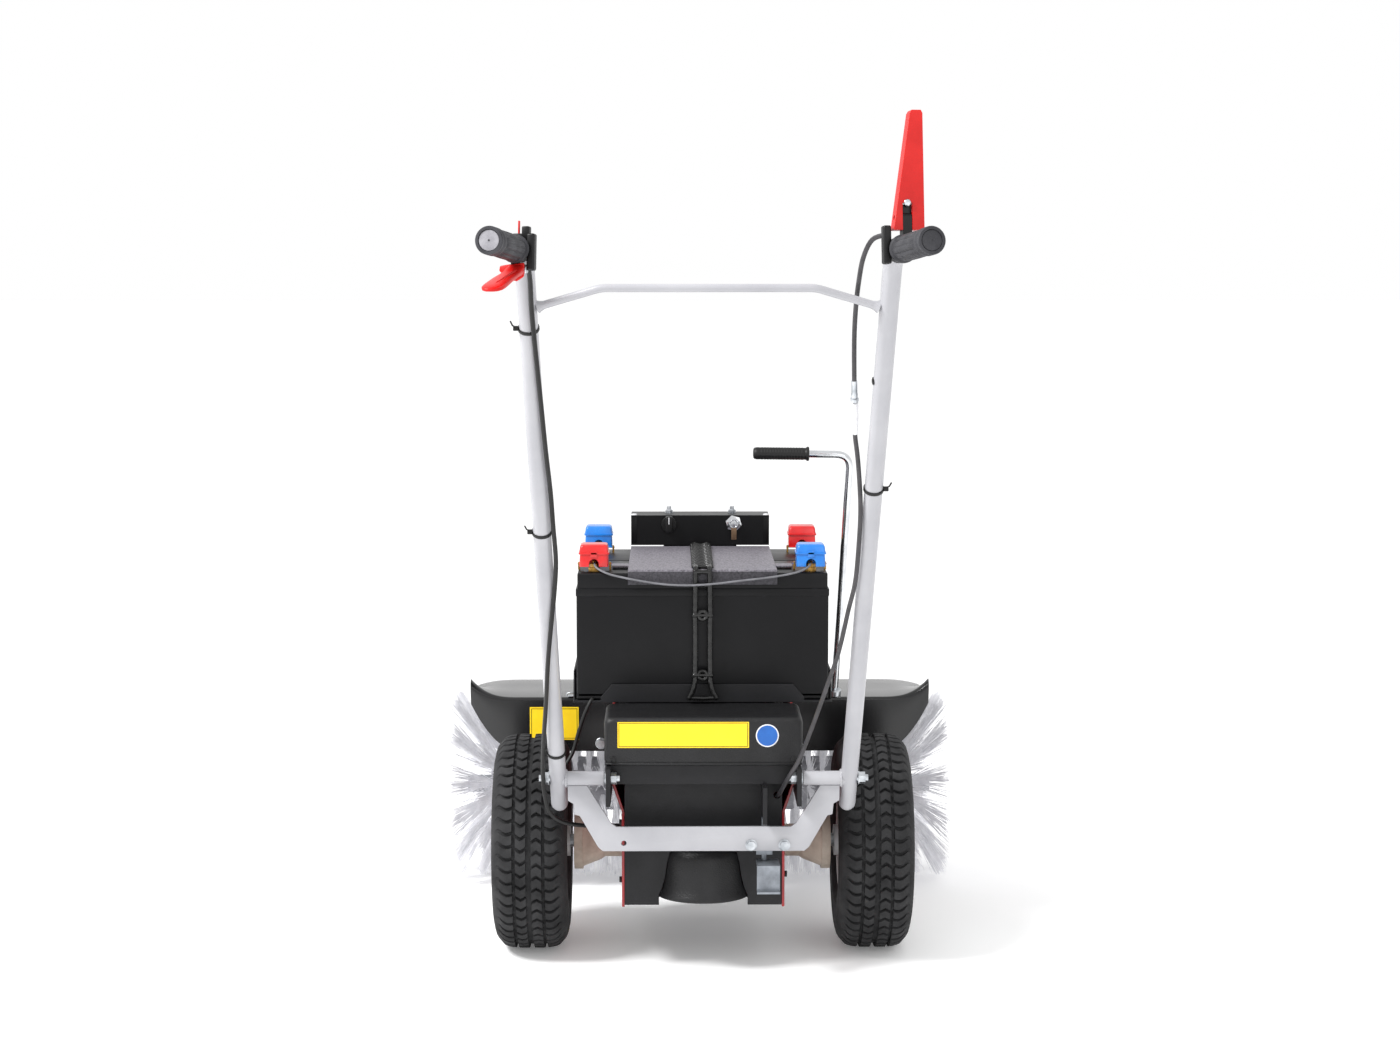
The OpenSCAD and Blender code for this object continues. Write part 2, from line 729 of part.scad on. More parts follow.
module handle_tube() {
    down = unit(tube_foot - tube_knee);
    back = grip_axis();
    reach = knee_r * tan(acos(-(down * back)) / 2);
    knee = [for (t = [0 : 0.25 : 1])
        tube_knee + down * reach * (1 - t) * (1 - t) + back * reach * t * t];
    difference() {
        union() {
            bar(concat([tube_foot], knee, [tube_knee + back * (grip_from - 2)]), tube_r);
            rod(tube_knee + back * (grip_from - 3), tube_knee + back * (grip_to - 6), 11);
            translate(tube_foot) sphere(r = tube_r, $fn = 32);
            along_x(146.6, hinge_y, hinge_z) cylinder(h = 66, r = 10.5, $fn = 48);
        }
        rod(tube_foot - down * 20, tube_knee + down * 40, tube_r - 2);
        along_x(140, hinge_y, hinge_z) cylinder(h = 100, r = hinge_bolt_r + run_fit, $fn = 48);
    }
}

module handle_tube_left() {
    color("gainsboro") placed() mirror([1, 0, 0]) handle_tube();
}

module handle_tube_right() {
    color("gainsboro") placed() handle_tube();
}

module crossbar() {
    turn = [137, -692, 1027];
    end = [218, -676, 1003];
    color("gainsboro") placed() {
        along_x(-turn[0], turn[1], turn[2]) cylinder(h = 2 * turn[0], r = 5.3, $fn = 32);
        for (side = [-1, 1])
            rod([side * (turn[0] - 3), turn[1] + 0.4, turn[2] + 0.6], [side * end[0], end[1], end[2]], 5.3);
    }
}

// Flat plate that ties the lower ends of the two tubes together under the hinge line
module yoke() {
    edge = [[201, 289.4], [200.5, 267], [192, 262], [190.5, 246], [183, 244], [156, 197], [149, 191]];
    inside = [[172, 289.4], [137, 233], [129, 227.5]];
    color("gainsboro") placed() difference() {
        rotate([90, 0, 0]) translate([0, 0, 194]) linear_extrude(height = 6)
            polygon(concat(edge, [for (i = [6 : -1 : 0]) [-edge[i][0], edge[i][1]]],
                [for (p = inside) [-p[0], p[1]]],
                [for (i = [2 : -1 : 0]) [inside[i][0], inside[i][1]]]));
        along_y(-118, -205, 203) cylinder(h = 20, r = 4, $fn = 48);
        for (x = [70.5, 119.5]) along_y(x, -205, 200) cylinder(h = 20, r = 4.2, $fn = 48);
    }
}

module grip() {
    at_grip() rotate([90, 0, 0]) difference() {
        union() {
            translate([0, 0, grip_from]) cylinder(h = grip_to - grip_from, r = grip_r - 1.5, $fn = 64);
            translate([0, 0, grip_from]) cylinder(h = 5, r = grip_r + 1, $fn = 64);
            translate([0, 0, grip_to - 14]) cylinder(h = 10, r = grip_r + 1, $fn = 64);
        }
        translate([0, 0, grip_from - 5]) cylinder(h = grip_to - grip_from, r = 11.1, $fn = 64);
    }
}

module grip_left() {
    color([0.2, 0.2, 0.21]) placed() mirror([1, 0, 0]) grip();
}

module grip_right() {
    color([0.2, 0.2, 0.21]) placed() grip();
}

// Clamp ring with a lug for a lever's pin; the lug stands up or hangs down
module lever_bracket(pivot, up) {
    at_grip() difference() {
        union() {
            translate([0, -34.5, 0]) rotate([-90, 0, 0]) cylinder(h = 13.5, r = 16.5, $fn = 64);
            slab(pivot[0] - 6, pivot[0] + 6, pivot[1] - 7, pivot[1] + 7,
                up ? 10 : pivot[2], up ? pivot[2] : -10);
            along_x(pivot[0] - 6, pivot[1], pivot[2]) cylinder(h = 12, r = 7, $fn = 48);
            along_x(pivot[0] - 11, pivot[1], pivot[2]) cylinder(h = 22, r = lever_pin_r, $fn = 48);
        }
        translate([0, -36, 0]) rotate([-90, 0, 0]) cylinder(h = 20, r = tube_r + 0.1, $fn = 64);
    }
}

module lever_brackets() {
    color([0.1, 0.1, 0.1]) placed() {
        lever_bracket(drive_pivot, true);
        mirror([1, 0, 0]) lever_bracket(brush_pivot, false);
    }
}

// Tall lever that stands up from the right grip
module drive_lever() {
    p = drive_pivot;
    cheek = 6.3;
    color("red") placed() at_grip() difference() {
        union() {
            translate([0, p[1] + 8, 0]) rotate([90, 0, 0]) linear_extrude(height = 16)
                polygon([[p[0] - 18, p[2] - 16], [p[0] + 22, p[2] - 16], [p[0] + 22, p[2] + 130],
                    [p[0] + 20, p[2] + 134], [p[0] + 8, p[2] + 134], [p[0] + 5.5, p[2] + 130],
                    [p[0] - 11, p[2] + 26]]);
        }
        slab(p[0] - cheek, p[0] + cheek, p[1] - 20, p[1] + 20, p[2] - 30, p[2] + 18);
        translate([0, p[1] + 10, 0]) rotate([90, 0, 0]) linear_extrude(height = 13)
            polygon([[p[0] - 6.5, p[2] + 29], [p[0] + 18, p[2] + 29], [p[0] + 18, p[2] + 124],
                [p[0] + 9, p[2] + 124]]);
        along_x(p[0] - 30, p[1], p[2]) cylinder(h = 60, r = lever_pin_r + run_fit, $fn = 48);
    }
}

// Short paddle lever that hangs under the left grip
module brush_lever() {
    p = brush_pivot;
    color("red") placed() mirror([1, 0, 0]) at_grip() difference() {
        translate(p) rotate([17, 0, 0]) {
            slab(-11, 11, -22, 6, -9, 4.5);
            intersection() {
                translate([0, 0, -20]) linear_extrude(height = 30) polygon([[-11, -20],
                    [11, -20], [13, -60], [16, -96], [12, -114], [4, -120], [-8, -118],
                    [-13, -96], [-12, -60]]);
                rotate([90, 0, 90]) translate([0, 0, -20]) linear_extrude(height = 40)
                    polygon([[-17, 4], [-117, 4], [-121, 0], [-117, -4], [-92, -9], [-40, -13],
                        [-17, -11]]);
            }
        }
        slab(p[0] - 6.3, p[0] + 6.3, p[1] - 12, p[1] + 12, p[2] - 14, p[2] + 14);
        along_x(p[0] - 30, p[1], p[2]) cylinder(h = 60, r = lever_pin_r + run_fit, $fn = 48);
    }
}

module latch_bracket() {
    color("silver") placed() difference() {
        union() {
            slab(58, 132, -193.8, -190.8, 192, 210);
            slab(78, 102, -193.8, -190.8, 184, 217);
            for (z = [184, 214]) slab(80, 100, -191, -178, z, z + 3);
        }
        translate([latch_x, latch_y, 180]) cylinder(h = 40, r = latch_r + run_fit, $fn = 48);
        for (x = [70.5, 119.5]) along_y(x, -200, 200) cylinder(h = 20, r = 4.2, $fn = 48);
    }
}

module yoke_bolts() {
    color("silver") placed() for (x = [70.5, 119.5]) {
        along_y(x, -205.5, 200) cylinder(h = 22, r = 4, $fn = 32);
        along_y(x, -206.5, 200) cylinder(h = 6.3, r = 7.5, $fn = 6);
        along_y(x, -190.5, 200) cylinder(h = 6.5, r = 7.5, $fn = 6);
    }
}

// Latch pin with its foot pedal
module latch_pedal() {
    color("silver") placed() {
        translate([latch_x, latch_y, 170]) cylinder(h = 68, r = latch_r, $fn = 48);
        translate([latch_x, latch_y, 209]) cylinder(h = 4.6, r = 6, $fn = 48);
        slab(78, 112, -229, -179.5, 172, 175);
        slab(78, 112, -229, -226, 138, 174);
        slab(78, 112, -240, -226, 135, 138);
    }
}

module latch_spring() {
    color("dimgray") placed() translate([latch_x, latch_y, 187.2]) difference() {
        cylinder(h = 21.6, r = 5.9, $fn = 48);
        translate([0, 0, -1]) cylinder(h = 24, r = 4.3, $fn = 48);
    }
}

// Point on the tube's axis at a height
function tube_at(z) = tube_foot + (tube_knee - tube_foot) * (z - tube_foot[2])
    / (tube_knee[2] - tube_foot[2]);

module tie(z) {
    v = unit(tube_knee - tube_foot);
    translate(tube_at(z)) rotate([0, acos(v[2]), atan2(v[1], v[0])]) difference() {
        translate([0, 0, -2.2]) cylinder(h = 4.4, r = tube_r + 1.6, $fn = 48);
        translate([0, 0, -3]) cylinder(h = 6, r = tube_r + 0.1, $fn = 48);
    }
}

module cable_ties() {
    color([0.06, 0.06, 0.06]) placed() {
        for (z = [975, 693, 345]) mirror([1, 0, 0]) tie(z);
        tie(755);
    }
}

module cable_left() {
    color([0.06, 0.06, 0.06]) placed() cord(cable_left_route, cable_r, [1, 0, 0]);
}

module cable_right() {
    color([0.06, 0.06, 0.06]) placed() cord(cable_right_route, cable_r, [1, 0, 0]);
}

side_plate_left();
side_plate_right();
rear_panel();
battery_tray();
rear_cover();
controller();
bell_cover();
drive_motor();
transaxle();
handle_mount();
hinge_pins();
battery_rear();
battery_front();
battery_clamp();
hold_down_strap();
terminal_bolts();
battery_wire();
control_box();
head_bracket();
traction_belt();
control_knob();
key_switch();
cap_red_rear();
cap_blue_rear();
cap_blue_front();
cap_red_front();
motor_pulley();
transaxle_pulley();
idler_arm();
tyre_left();
rim_left();
axle_shaft_left();
tyre_right();
rim_right();
axle_shaft_right();
head_frame();
gear_case();
brush_motor();
hood();
swing_lever();
swing_grip();
brush_shaft();
brush_left();
brush_right();
handle_tube_left();
handle_tube_right();
crossbar();
yoke();
grip_left();
grip_right();
lever_brackets();
latch_bracket();
yoke_bolts();
cable_ties();
cable_left();
cable_right();
drive_lever();
brush_lever();
latch_pedal();
latch_spring();
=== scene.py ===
import random
from math import copysign, cos, pi, radians, sin, tau

import bmesh
import bpy
from mathutils import Matrix, Vector


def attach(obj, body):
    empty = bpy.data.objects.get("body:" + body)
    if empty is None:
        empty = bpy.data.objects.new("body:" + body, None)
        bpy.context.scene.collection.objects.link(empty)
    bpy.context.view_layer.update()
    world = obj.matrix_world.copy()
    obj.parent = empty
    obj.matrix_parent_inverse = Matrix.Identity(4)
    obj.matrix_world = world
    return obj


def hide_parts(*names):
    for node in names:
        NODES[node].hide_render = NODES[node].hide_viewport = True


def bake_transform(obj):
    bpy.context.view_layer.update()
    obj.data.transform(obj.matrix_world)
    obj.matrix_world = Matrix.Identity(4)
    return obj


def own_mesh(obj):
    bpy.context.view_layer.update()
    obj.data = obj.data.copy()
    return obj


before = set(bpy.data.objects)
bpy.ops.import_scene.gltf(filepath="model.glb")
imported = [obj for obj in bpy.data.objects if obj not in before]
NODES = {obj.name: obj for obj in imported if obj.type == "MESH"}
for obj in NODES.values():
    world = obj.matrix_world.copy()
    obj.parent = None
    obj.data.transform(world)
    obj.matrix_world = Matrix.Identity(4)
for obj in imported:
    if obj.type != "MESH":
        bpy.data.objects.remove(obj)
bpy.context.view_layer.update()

# Positions are in millimetres from the middle of the axle's line on the floor: x to the
# machine's right, y the way it drives, z up. The frame's origin lies AXLE_Y behind that.
AXLE_Y = 113
AXLE_Z = 165
MM = 0.001
THIN = 0.02  # the least radius of a ring, so that no faces collapse
RIGHT = (1, 0, 0)
BACK = (0, -1, 0)
UP = (0, 0, 1)
TRACK = 262  # from the machine's middle to a tyre's
TYRE_SHARE = 57 / 61  # TREAD and SIDEWALL are drawn wide and narrowed by this
RNG = random.Random(7)

TUBE_FOOT = Vector((214, -168, 258))
TUBE_KNEE = Vector((233, -722, 1073))
TUBE_R = 12.5
GRIP_SPLAY = radians(12.8)
GRIP_RISE = radians(5)
HINGE = (-197, 300)
BATTERY_TOP = 588.5
TRAY_Z = 391
BELL_Y = -125


# ---------------- camera, light, floor

CAMERA_PLACE = (-0.0492, -4.087, 1.0686)
CAMERA_PITCH = 84.31
CAMERA_TURN = -0.627
LENS = 70.68
FLOOR_GLOW = 0.14


def linked(name, data):
    """An object around the data, linked to the scene."""
    made = bpy.data.objects.new(name, data)
    bpy.context.scene.collection.objects.link(made)
    return made


def make_camera():
    data = bpy.data.cameras.new("camera")
    data.lens = LENS
    data.sensor_width = 36
    camera = linked("camera", data)
    camera.location = CAMERA_PLACE
    camera.rotation_euler = (radians(CAMERA_PITCH), 0, radians(CAMERA_TURN))
    bpy.context.scene.camera = camera


def area_light(name, place, target, size, power):
    data = bpy.data.lights.new(name, "AREA")
    data.shape = "RECTANGLE"
    data.size, data.size_y = size
    data.energy = power
    lamp = linked(name, data)
    lamp.location = place
    aim = Vector(target) - Vector(place)
    lamp.rotation_euler = aim.to_track_quat("-Z", "Y").to_euler()


def make_lights():
    world = bpy.data.worlds.new("world")
    world.use_nodes = True
    put(world.node_tree.nodes["Background"], Color=(1, 1, 1, 1), Strength=1.0)
    bpy.context.scene.world = world
    area_light("key", (-2.4, -1.4, 3.4), (0, 0.1, 0.3), (1.1, 1.1), 180)
    area_light("fill", (1.6, -3.4, 1.9), (0, 0, 0.5), (2.2, 1.6), 14)
    bpy.context.scene.view_settings.view_transform = "Standard"


def make_floor():
    mesh = bpy.data.meshes.new("floor")
    half = 60
    corners = [(-half, -half, 0), (half, -half, 0), (half, half, 0), (-half, half, 0)]
    mesh.from_pydata(corners, [], [(0, 1, 2, 3)])
    floor = linked("floor", mesh)
    white = (250, 250, 250)
    paint = finish_of("floor_white", white, white, rough=0.9, scale=30, bump=0, spec=0.1)
    mesh.materials.append(glowing(paint, FLOOR_GLOW))


# ---------------- materials

def linear(rgb):
    """A colour of three 0-255 sRGB numbers as the shader wants it."""
    out = []
    for channel in rgb:
        c = channel / 255
        out.append(c / 12.92 if c <= 0.04045 else ((c + 0.055) / 1.055) ** 2.4)
    return (*out, 1.0)


def put(node, **values):
    """Sets a node's sockets; an underscore stands for the space in a socket's name."""
    for name, value in values.items():
        node.inputs[name.replace("_", " ")].default_value = value


def glowing(made, strength):
    """Gives a material a faint white light of its own."""
    put(made.node_tree.nodes["Principled BSDF"], Emission_Color=(1, 1, 1, 1),
        Emission_Strength=strength)
    return made


MADE = {}


def finish_of(name, colour, other, rough=0.4, metal=0.0, scale=60, bump=0.15, grain=500,
              pattern="noise", coat=0.0, wear=None, stretch=(1, 1, 1), spec=0.5):
    """A material with drifting colour, uneven gloss, a fine grain and, if asked, worn edges."""
    if name in MADE:
        return MADE[name]
    made = bpy.data.materials.new(name)
    made.use_nodes = True
    tree = made.node_tree
    shader = tree.nodes["Principled BSDF"]
    put(shader, Metallic=metal, Specular_IOR_Level=spec, Coat_Weight=coat, Coat_Roughness=0.2)
    coord = tree.nodes.new("ShaderNodeTexCoord")
    mapping = tree.nodes.new("ShaderNodeMapping")
    put(mapping, Scale=stretch)
    tree.links.new(coord.outputs["Object"], mapping.inputs["Vector"])
    noise = noise_node(tree, mapping, scale, 6, 0.6)
    shape = map_range(tree, noise.outputs["Fac"], 0.35, 0.7, 0, 1)
    mix = mix_node(tree, shape.outputs["Result"])
    put(mix, A=linear(colour), B=linear(other))
    colour_out = mix.outputs["Result"]
    if wear:
        colour_out = worn_edges(tree, mapping, colour_out, linear(wear))
    tree.links.new(colour_out, shader.inputs["Base Color"])
    gloss = map_range(tree, noise.outputs["Fac"], 0.3, 0.7, rough * 0.88, min(1, rough * 1.15))
    tree.links.new(gloss.outputs["Result"], shader.inputs["Roughness"])
    if bump:
        add_bump(tree, shader, mapping, bump, grain, pattern)
    MADE[name] = made
    return made


def noise_node(tree, mapping, scale, detail, roughness):
    noise = tree.nodes.new("ShaderNodeTexNoise")
    put(noise, Scale=scale, Detail=detail, Roughness=roughness)
    tree.links.new(mapping.outputs["Vector"], noise.inputs["Vector"])
    return noise


def mix_node(tree, factor):
    mix = tree.nodes.new("ShaderNodeMix")
    mix.data_type = "RGBA"
    tree.links.new(factor, mix.inputs["Factor"])
    return mix


def map_range(tree, source, low, high, to_low, to_high):
    node = tree.nodes.new("ShaderNodeMapRange")
    put(node, From_Min=low, From_Max=high, To_Min=to_low, To_Max=to_high)
    tree.links.new(source, node.inputs["Value"])
    return node


def worn_edges(tree, mapping, colour, worn):
    """Rubs the colour away where the surface turns sharply."""
    bevel = tree.nodes.new("ShaderNodeBevel")
    bevel.samples = 4
    put(bevel, Radius=0.0012)
    geometry = tree.nodes.new("ShaderNodeNewGeometry")
    dot = tree.nodes.new("ShaderNodeVectorMath")
    dot.operation = "DOT_PRODUCT"
    tree.links.new(bevel.outputs["Normal"], dot.inputs[0])
    tree.links.new(geometry.outputs["Normal"], dot.inputs[1])
    edge = map_range(tree, dot.outputs["Value"], 0.97, 0.8, 0, 1)
    patch = noise_node(tree, mapping, 55, 5, 0.65)
    spots = map_range(tree, patch.outputs["Fac"], 0.5, 0.62, 0, 0.8)
    both_of = tree.nodes.new("ShaderNodeMath")
    both_of.operation = "MULTIPLY"
    tree.links.new(edge.outputs["Result"], both_of.inputs[0])
    tree.links.new(spots.outputs["Result"], both_of.inputs[1])
    mix = mix_node(tree, both_of.outputs[0])
    put(mix, B=worn)
    tree.links.new(colour, mix.inputs["A"])
    return mix.outputs["Result"]


def add_bump(tree, shader, mapping, strength, grain, pattern):
    bump = tree.nodes.new("ShaderNodeBump")
    put(bump, Strength=strength, Distance=0.0006)
    if pattern == "cells":
        cells = tree.nodes.new("ShaderNodeTexVoronoi")
        cells.feature = "SMOOTH_F1"
        put(cells, Scale=grain)
        tree.links.new(mapping.outputs["Vector"], cells.inputs["Vector"])
        height = cells.outputs["Distance"]
    else:
        height = noise_node(tree, mapping, grain, 4, 0.6).outputs["Fac"]
    tree.links.new(height, bump.inputs["Height"])
    tree.links.new(bump.outputs["Normal"], shader.inputs["Normal"])


def handle_paint():
    return finish_of(
        "handle_paint", (170, 170, 174), (158, 158, 163), rough=0.36, scale=9, bump=0.12,
        grain=420, coat=0.15, wear=(130, 130, 132))


def powder_black():
    return finish_of(
        "powder_black", (22, 22, 25), (15, 15, 17), rough=0.5, scale=14, bump=0.35, grain=900,
        wear=(66, 66, 70), spec=0.3)


def sheet_black():
    return finish_of(
        "sheet_black", (14, 14, 16), (10, 10, 12), rough=0.24, scale=7, bump=0.06, grain=700,
        coat=0.35, spec=0.35)


def pebbled_black():
    return finish_of(
        "pebbled_black", (22, 22, 24), (15, 15, 16), rough=0.42, scale=20, bump=0.8, grain=620,
        pattern="cells", spec=0.35)


def battery_black():
    return finish_of(
        "battery_black", (13, 13, 15), (9, 9, 11), scale=10, bump=0.12, grain=300, wear=(48,
        48, 54), spec=0.2)


def plastic_black():
    return finish_of("plastic_black", (14, 14, 15), (9, 9, 10), scale=25, spec=0.3)


def red_paint():
    return finish_of(
        "red_paint", (150, 22, 28), (122, 16, 22), rough=0.36, scale=14, bump=0.2, grain=600,
        coat=0.2, wear=(190, 90, 85))


def lever_red():
    return finish_of(
        "lever_red_plastic", (204, 20, 14), (184, 12, 8), rough=0.36, scale=18, bump=0.1,
        grain=350, spec=0.3)


def cap_finish(name, colour, other):
    return finish_of(name, colour, other, rough=0.3, scale=40, bump=0.1, grain=400, coat=0.35)


def tyre_rubber():
    return finish_of(
        "tyre_black", (48, 48, 49), (32, 32, 33), rough=0.8, scale=26, bump=0.5, grain=700,
        spec=0.2)


def strap_black():
    return finish_of("strap_black", (13, 13, 13), (8, 8, 8), rough=0.26, scale=40, grain=700)


def box_black():
    return finish_of(
        "box_black", (9, 9, 11), (6, 6, 7), rough=0.36, scale=12, bump=0.1, grain=700, spec=0.2)


def key_brown():
    return finish_of("key_brown", (128, 104, 82), (96, 76, 58), metal=0.7, bump=0.2)


def rubber_black():
    return finish_of(
        "rubber_black", (15, 15, 15), (10, 10, 10), rough=0.45, scale=40, bump=0.2, grain=900,
        spec=0.35)


def grip_rubber():
    return finish_of(
        "grip_grey_rubber", (60, 60, 64), (42, 42, 46), rough=0.6, scale=45, bump=0.4,
        grain=900, spec=0.3)


def zinc():
    return finish_of("zinc_plate", (205, 208, 212), (150, 155, 160), rough=0.3, metal=1.0)


def latch_grey():
    return finish_of("latch_grey", (142, 147, 154), (104, 108, 114), metal=0.7, scale=40, bump=0.2)


def chrome():
    return finish_of(
        "chrome_plate", (222, 224, 226), (190, 192, 196), rough=0.14, metal=1.0, scale=30,
        bump=0.05, grain=300)


def brass():
    return finish_of(
        "brass_turned", (190, 150, 80), (130, 95, 45), rough=0.35, metal=1.0, scale=70, bump=0.2)


def cast_alloy():
    return finish_of(
        "cast_alloy_rough", (206, 194, 180), (166, 152, 138), rough=0.6, metal=0.05, scale=24,
        bump=0.9, grain=330, spec=0.4)


def plate_grey():
    return finish_of(
        "plate_grey", (132, 128, 136), (70, 68, 74), rough=0.5, metal=0.1, scale=330, bump=0.8,
        grain=560, pattern="cells", spec=0.4)


# A darker copy of plate_grey: painted shade for the clamp plate's turned-down edge.
def flange_shade_grey():
    return finish_of(
        "flange_shade_grey", (60, 58, 64), (30, 29, 33), rough=0.5, metal=0.1, scale=330, bump=0.8,
        grain=560, pattern="cells", spec=0.4)


def motor_grey():
    return finish_of(
        "motor_grey", (72, 72, 75), (52, 52, 55), rough=0.45, metal=0.3, scale=18, bump=0.25)


def machined_steel():
    return finish_of(
        "machined_steel", (170, 172, 175), (120, 122, 126), rough=0.32, metal=1.0, scale=35,
        bump=0.2, grain=220, stretch=(1, 1, 8))


def rim_white():
    return finish_of(
        "rim_white", (214, 214, 218), (182, 180, 178), rough=0.38, scale=16, coat=0.2,
        wear=(130, 122, 115))


def bristle_white_painted_glow():
    made = finish_of(
        "bristle_white_painted_glow", (236, 236, 239), (204, 204, 210), rough=0.6, scale=55, bump=0.2,
        grain=900, spec=0.3)
    # The bristles glow faintly: painted light that lifts the shade between the tufts.
    return glowing(made, 0.1)


def bristle_core():
    return finish_of(
        "bristle_core", (190, 190, 194), (130, 130, 136), rough=0.6, bump=0.4, grain=300)


def wire_grey():
    return finish_of(
        "wire_grey_sheath", (112, 112, 117), (88, 88, 92), rough=0.5, bump=0.2, grain=900)


def sleeve_white():
    return finish_of("sleeve_white", (226, 226, 228), (200, 200, 204), grain=600)


# Silver grey on a non-metal: a painted reflection on the left grip's end disc.
def disc_painted_reflection():
    return finish_of(
        "disc_painted_reflection", (150, 149, 154), (122, 121, 127), rough=0.42, scale=80, bump=0.35,
        grain=260)


def sticker_yellow():
    return finish_of(
        "sticker_yellow", (250, 216, 22), (240, 198, 16), scale=30, bump=0.1, grain=300)


def sticker_blue():
    return finish_of("sticker_blue", (18, 92, 172), (14, 80, 156), scale=40, bump=0.1, grain=300)


def cable_grey():
    return finish_of("cable_grey", (62, 60, 63), (44, 43, 45), grain=800, spec=0.4)


def spring_steel():
    return finish_of("spring_dark", (96, 96, 99), (70, 70, 73), rough=0.35, metal=0.9)


# ---------------- mesh building

def rings_mesh(rings, foot=True, loop=False):
    """A skin through equal rings, with its ends closed; the first one if foot is set."""
    count = len(rings[0])
    verts = [p for ring in rings for p in ring]
    faces = []
    for i in range(len(rings) if loop else len(rings) - 1):
        a, b = i * count, ((i + 1) % len(rings)) * count
        for k in range(count):
            n = (k + 1) % count
            faces.append((a + k, a + n, b + n, b + k))
    if foot and not loop:
        faces.append(tuple(range(count - 1, -1, -1)))
    if not loop:
        faces.append(tuple(range(len(verts) - count, len(verts))))
    return verts, faces


def axes_of(axis):
    """An axis made one long, with two directions square to it and to each other."""
    axis = Vector(axis).normalized()
    side = axis.orthogonal().normalized()
    return axis, side, axis.cross(side)


def circle(centre, side, other, radius, count):
    """Points round a circle that lies in the plane of two directions."""
    return [centre + (side * cos(tau * k / count) + other * sin(tau * k / count)) * radius
            for k in range(count)]


def lathe(profile, at, axis, sides=48, flutes=0, depth=0.0, fluted=(0, 0)):
    """Turns (distance along axis, radius) points round an axis. Flutes cut the span fluted."""
    axis, side, other = axes_of(axis)
    at = Vector(at)
    rings = []
    for along, radius in profile:
        ring = []
        for k in range(sides):
            a = tau * k / sides
            r = max(radius, THIN)
            if flutes and fluted[0] <= along <= fluted[1]:
                r -= depth * (0.5 - 0.5 * cos(flutes * a)) ** 3
            ring.append(at + axis * along + (side * cos(a) + other * sin(a)) * r)
        rings.append(ring)
    return rings_mesh(rings)


def fillet(points, radius, steps=6):
    """A list of points with its corners rounded off."""
    points = [Vector(p) for p in points]
    out = [points[0]]
    for a, b, c in zip(points, points[1:], points[2:]):
        reach = min(radius, (a - b).length * 0.48, (c - b).length * 0.48)
        p, q = b + (a - b).normalized() * reach, b + (c - b).normalized() * reach
        for i in range(steps + 1):
            t = i / steps
            out.append(p * (1 - t) ** 2 + b * 2 * t * (1 - t) + q * t * t)
    return out + [points[-1]]


def smoothed(points, steps=5):
    """A smooth curve through the points."""
    p = [Vector(q) for q in points]
    out = []
    for i in range(len(p) - 1):
        a, b, c, d = p[max(i - 1, 0)], p[i], p[i + 1], p[min(i + 2, len(p) - 1)]
        for s in range(steps):
            t = s / steps
            out.append(0.5 * (2 * b + (c - a) * t + (2 * a - 5 * b + 4 * c - d) * t * t
                              + (3 * b - a - 3 * c + d) * t ** 3))
    return out + [p[-1]]


def sweep(path, radius, sides=16, round_ends=True, loop=False):
    """A round bar along a path. radius is a number or one for each point."""
    path = [Vector(p) for p in path]
    radii = list(radius) if hasattr(radius, "__len__") else [radius] * len(path)
    count = len(path)
    tangents = []
    for i in range(count):
        a = path[(i - 1) % count] if loop else path[max(i - 1, 0)]
        b = path[(i + 1) % count] if loop else path[min(i + 1, count - 1)]
        tangents.append((b - a).normalized())
    normal = tangents[0].orthogonal().normalized()
    rings = []
    for i in range(count):
        normal = (normal - tangents[i] * normal.dot(tangents[i])).normalized()
        rings.append((path[i], tangents[i], normal.copy(), radii[i]))
    if round_ends and not loop:
        rings = end_rings(rings, 0) + rings + end_rings(rings, -1)
    return rings_mesh([circle(p, n, t.cross(n), r, sides) for p, t, n, r in rings], loop=loop)


def end_rings(rings, which):
    """Shrinking rings that round off one end of a sweep."""
    p, t, n, r = rings[which]
    sign = -1 if which == 0 else 1
    made = [(p + t * sign * r * sin(a), t, n, max(r * cos(a), THIN))
            for a in (0.35, 0.75, 1.15, 1.5)]
    return made[::-1] if which == 0 else made


def taken(mesh):
    """The vertices and faces of a bmesh, which is then freed."""
    mesh.verts.index_update()
    verts = [v.co.copy() for v in mesh.verts]
    faces = [tuple(v.index for v in f.verts) for f in mesh.faces]
    mesh.free()
    return verts, faces


def block(lo, hi, soft=1.0, segments=2):
    """A box with rounded edges."""
    mesh = bmesh.new()
    bmesh.ops.create_cube(mesh, size=1)
    lo, hi = Vector(lo), Vector(hi)
    for v in mesh.verts:
        v.co = Vector((lo[i] + (v.co[i] + 0.5) * (hi[i] - lo[i]) for i in range(3)))
    if soft:
        bmesh.ops.bevel(mesh, geom=mesh.edges[:], offset=soft, segments=segments,
                        profile=0.5, affect="EDGES")
    return taken(mesh)


def extruded(outline, lo, hi, axis="y", soft=0.0):
    """An outline in the plane across an axis, pulled from lo to hi along it."""
    order = {"x": lambda a, b, c: Vector((c, a, b)), "y": lambda a, b, c: Vector((a, c, b)),
             "z": lambda a, b, c: Vector((a, b, c))}[axis]
    mesh = bmesh.new()
    rings = [[mesh.verts.new(order(a, b, c)) for a, b in outline] for c in (lo, hi)]
    count = len(outline)
    mesh.faces.new(rings[0])
    mesh.faces.new(rings[1][::-1])
    for k in range(count):
        n = (k + 1) % count
        mesh.faces.new((rings[0][n], rings[0][k], rings[1][k], rings[1][n]))
    bmesh.ops.recalc_face_normals(mesh, faces=mesh.faces[:])
    if soft:
        rims = [e for e in mesh.edges
                if len(e.link_faces) == 2 and e.calc_face_angle(0) > radians(50)]
        bmesh.ops.bevel(mesh, geom=rims, offset=soft, segments=2, profile=0.5,
                        affect="EDGES", clamp_overlap=True)
    return taken(mesh)


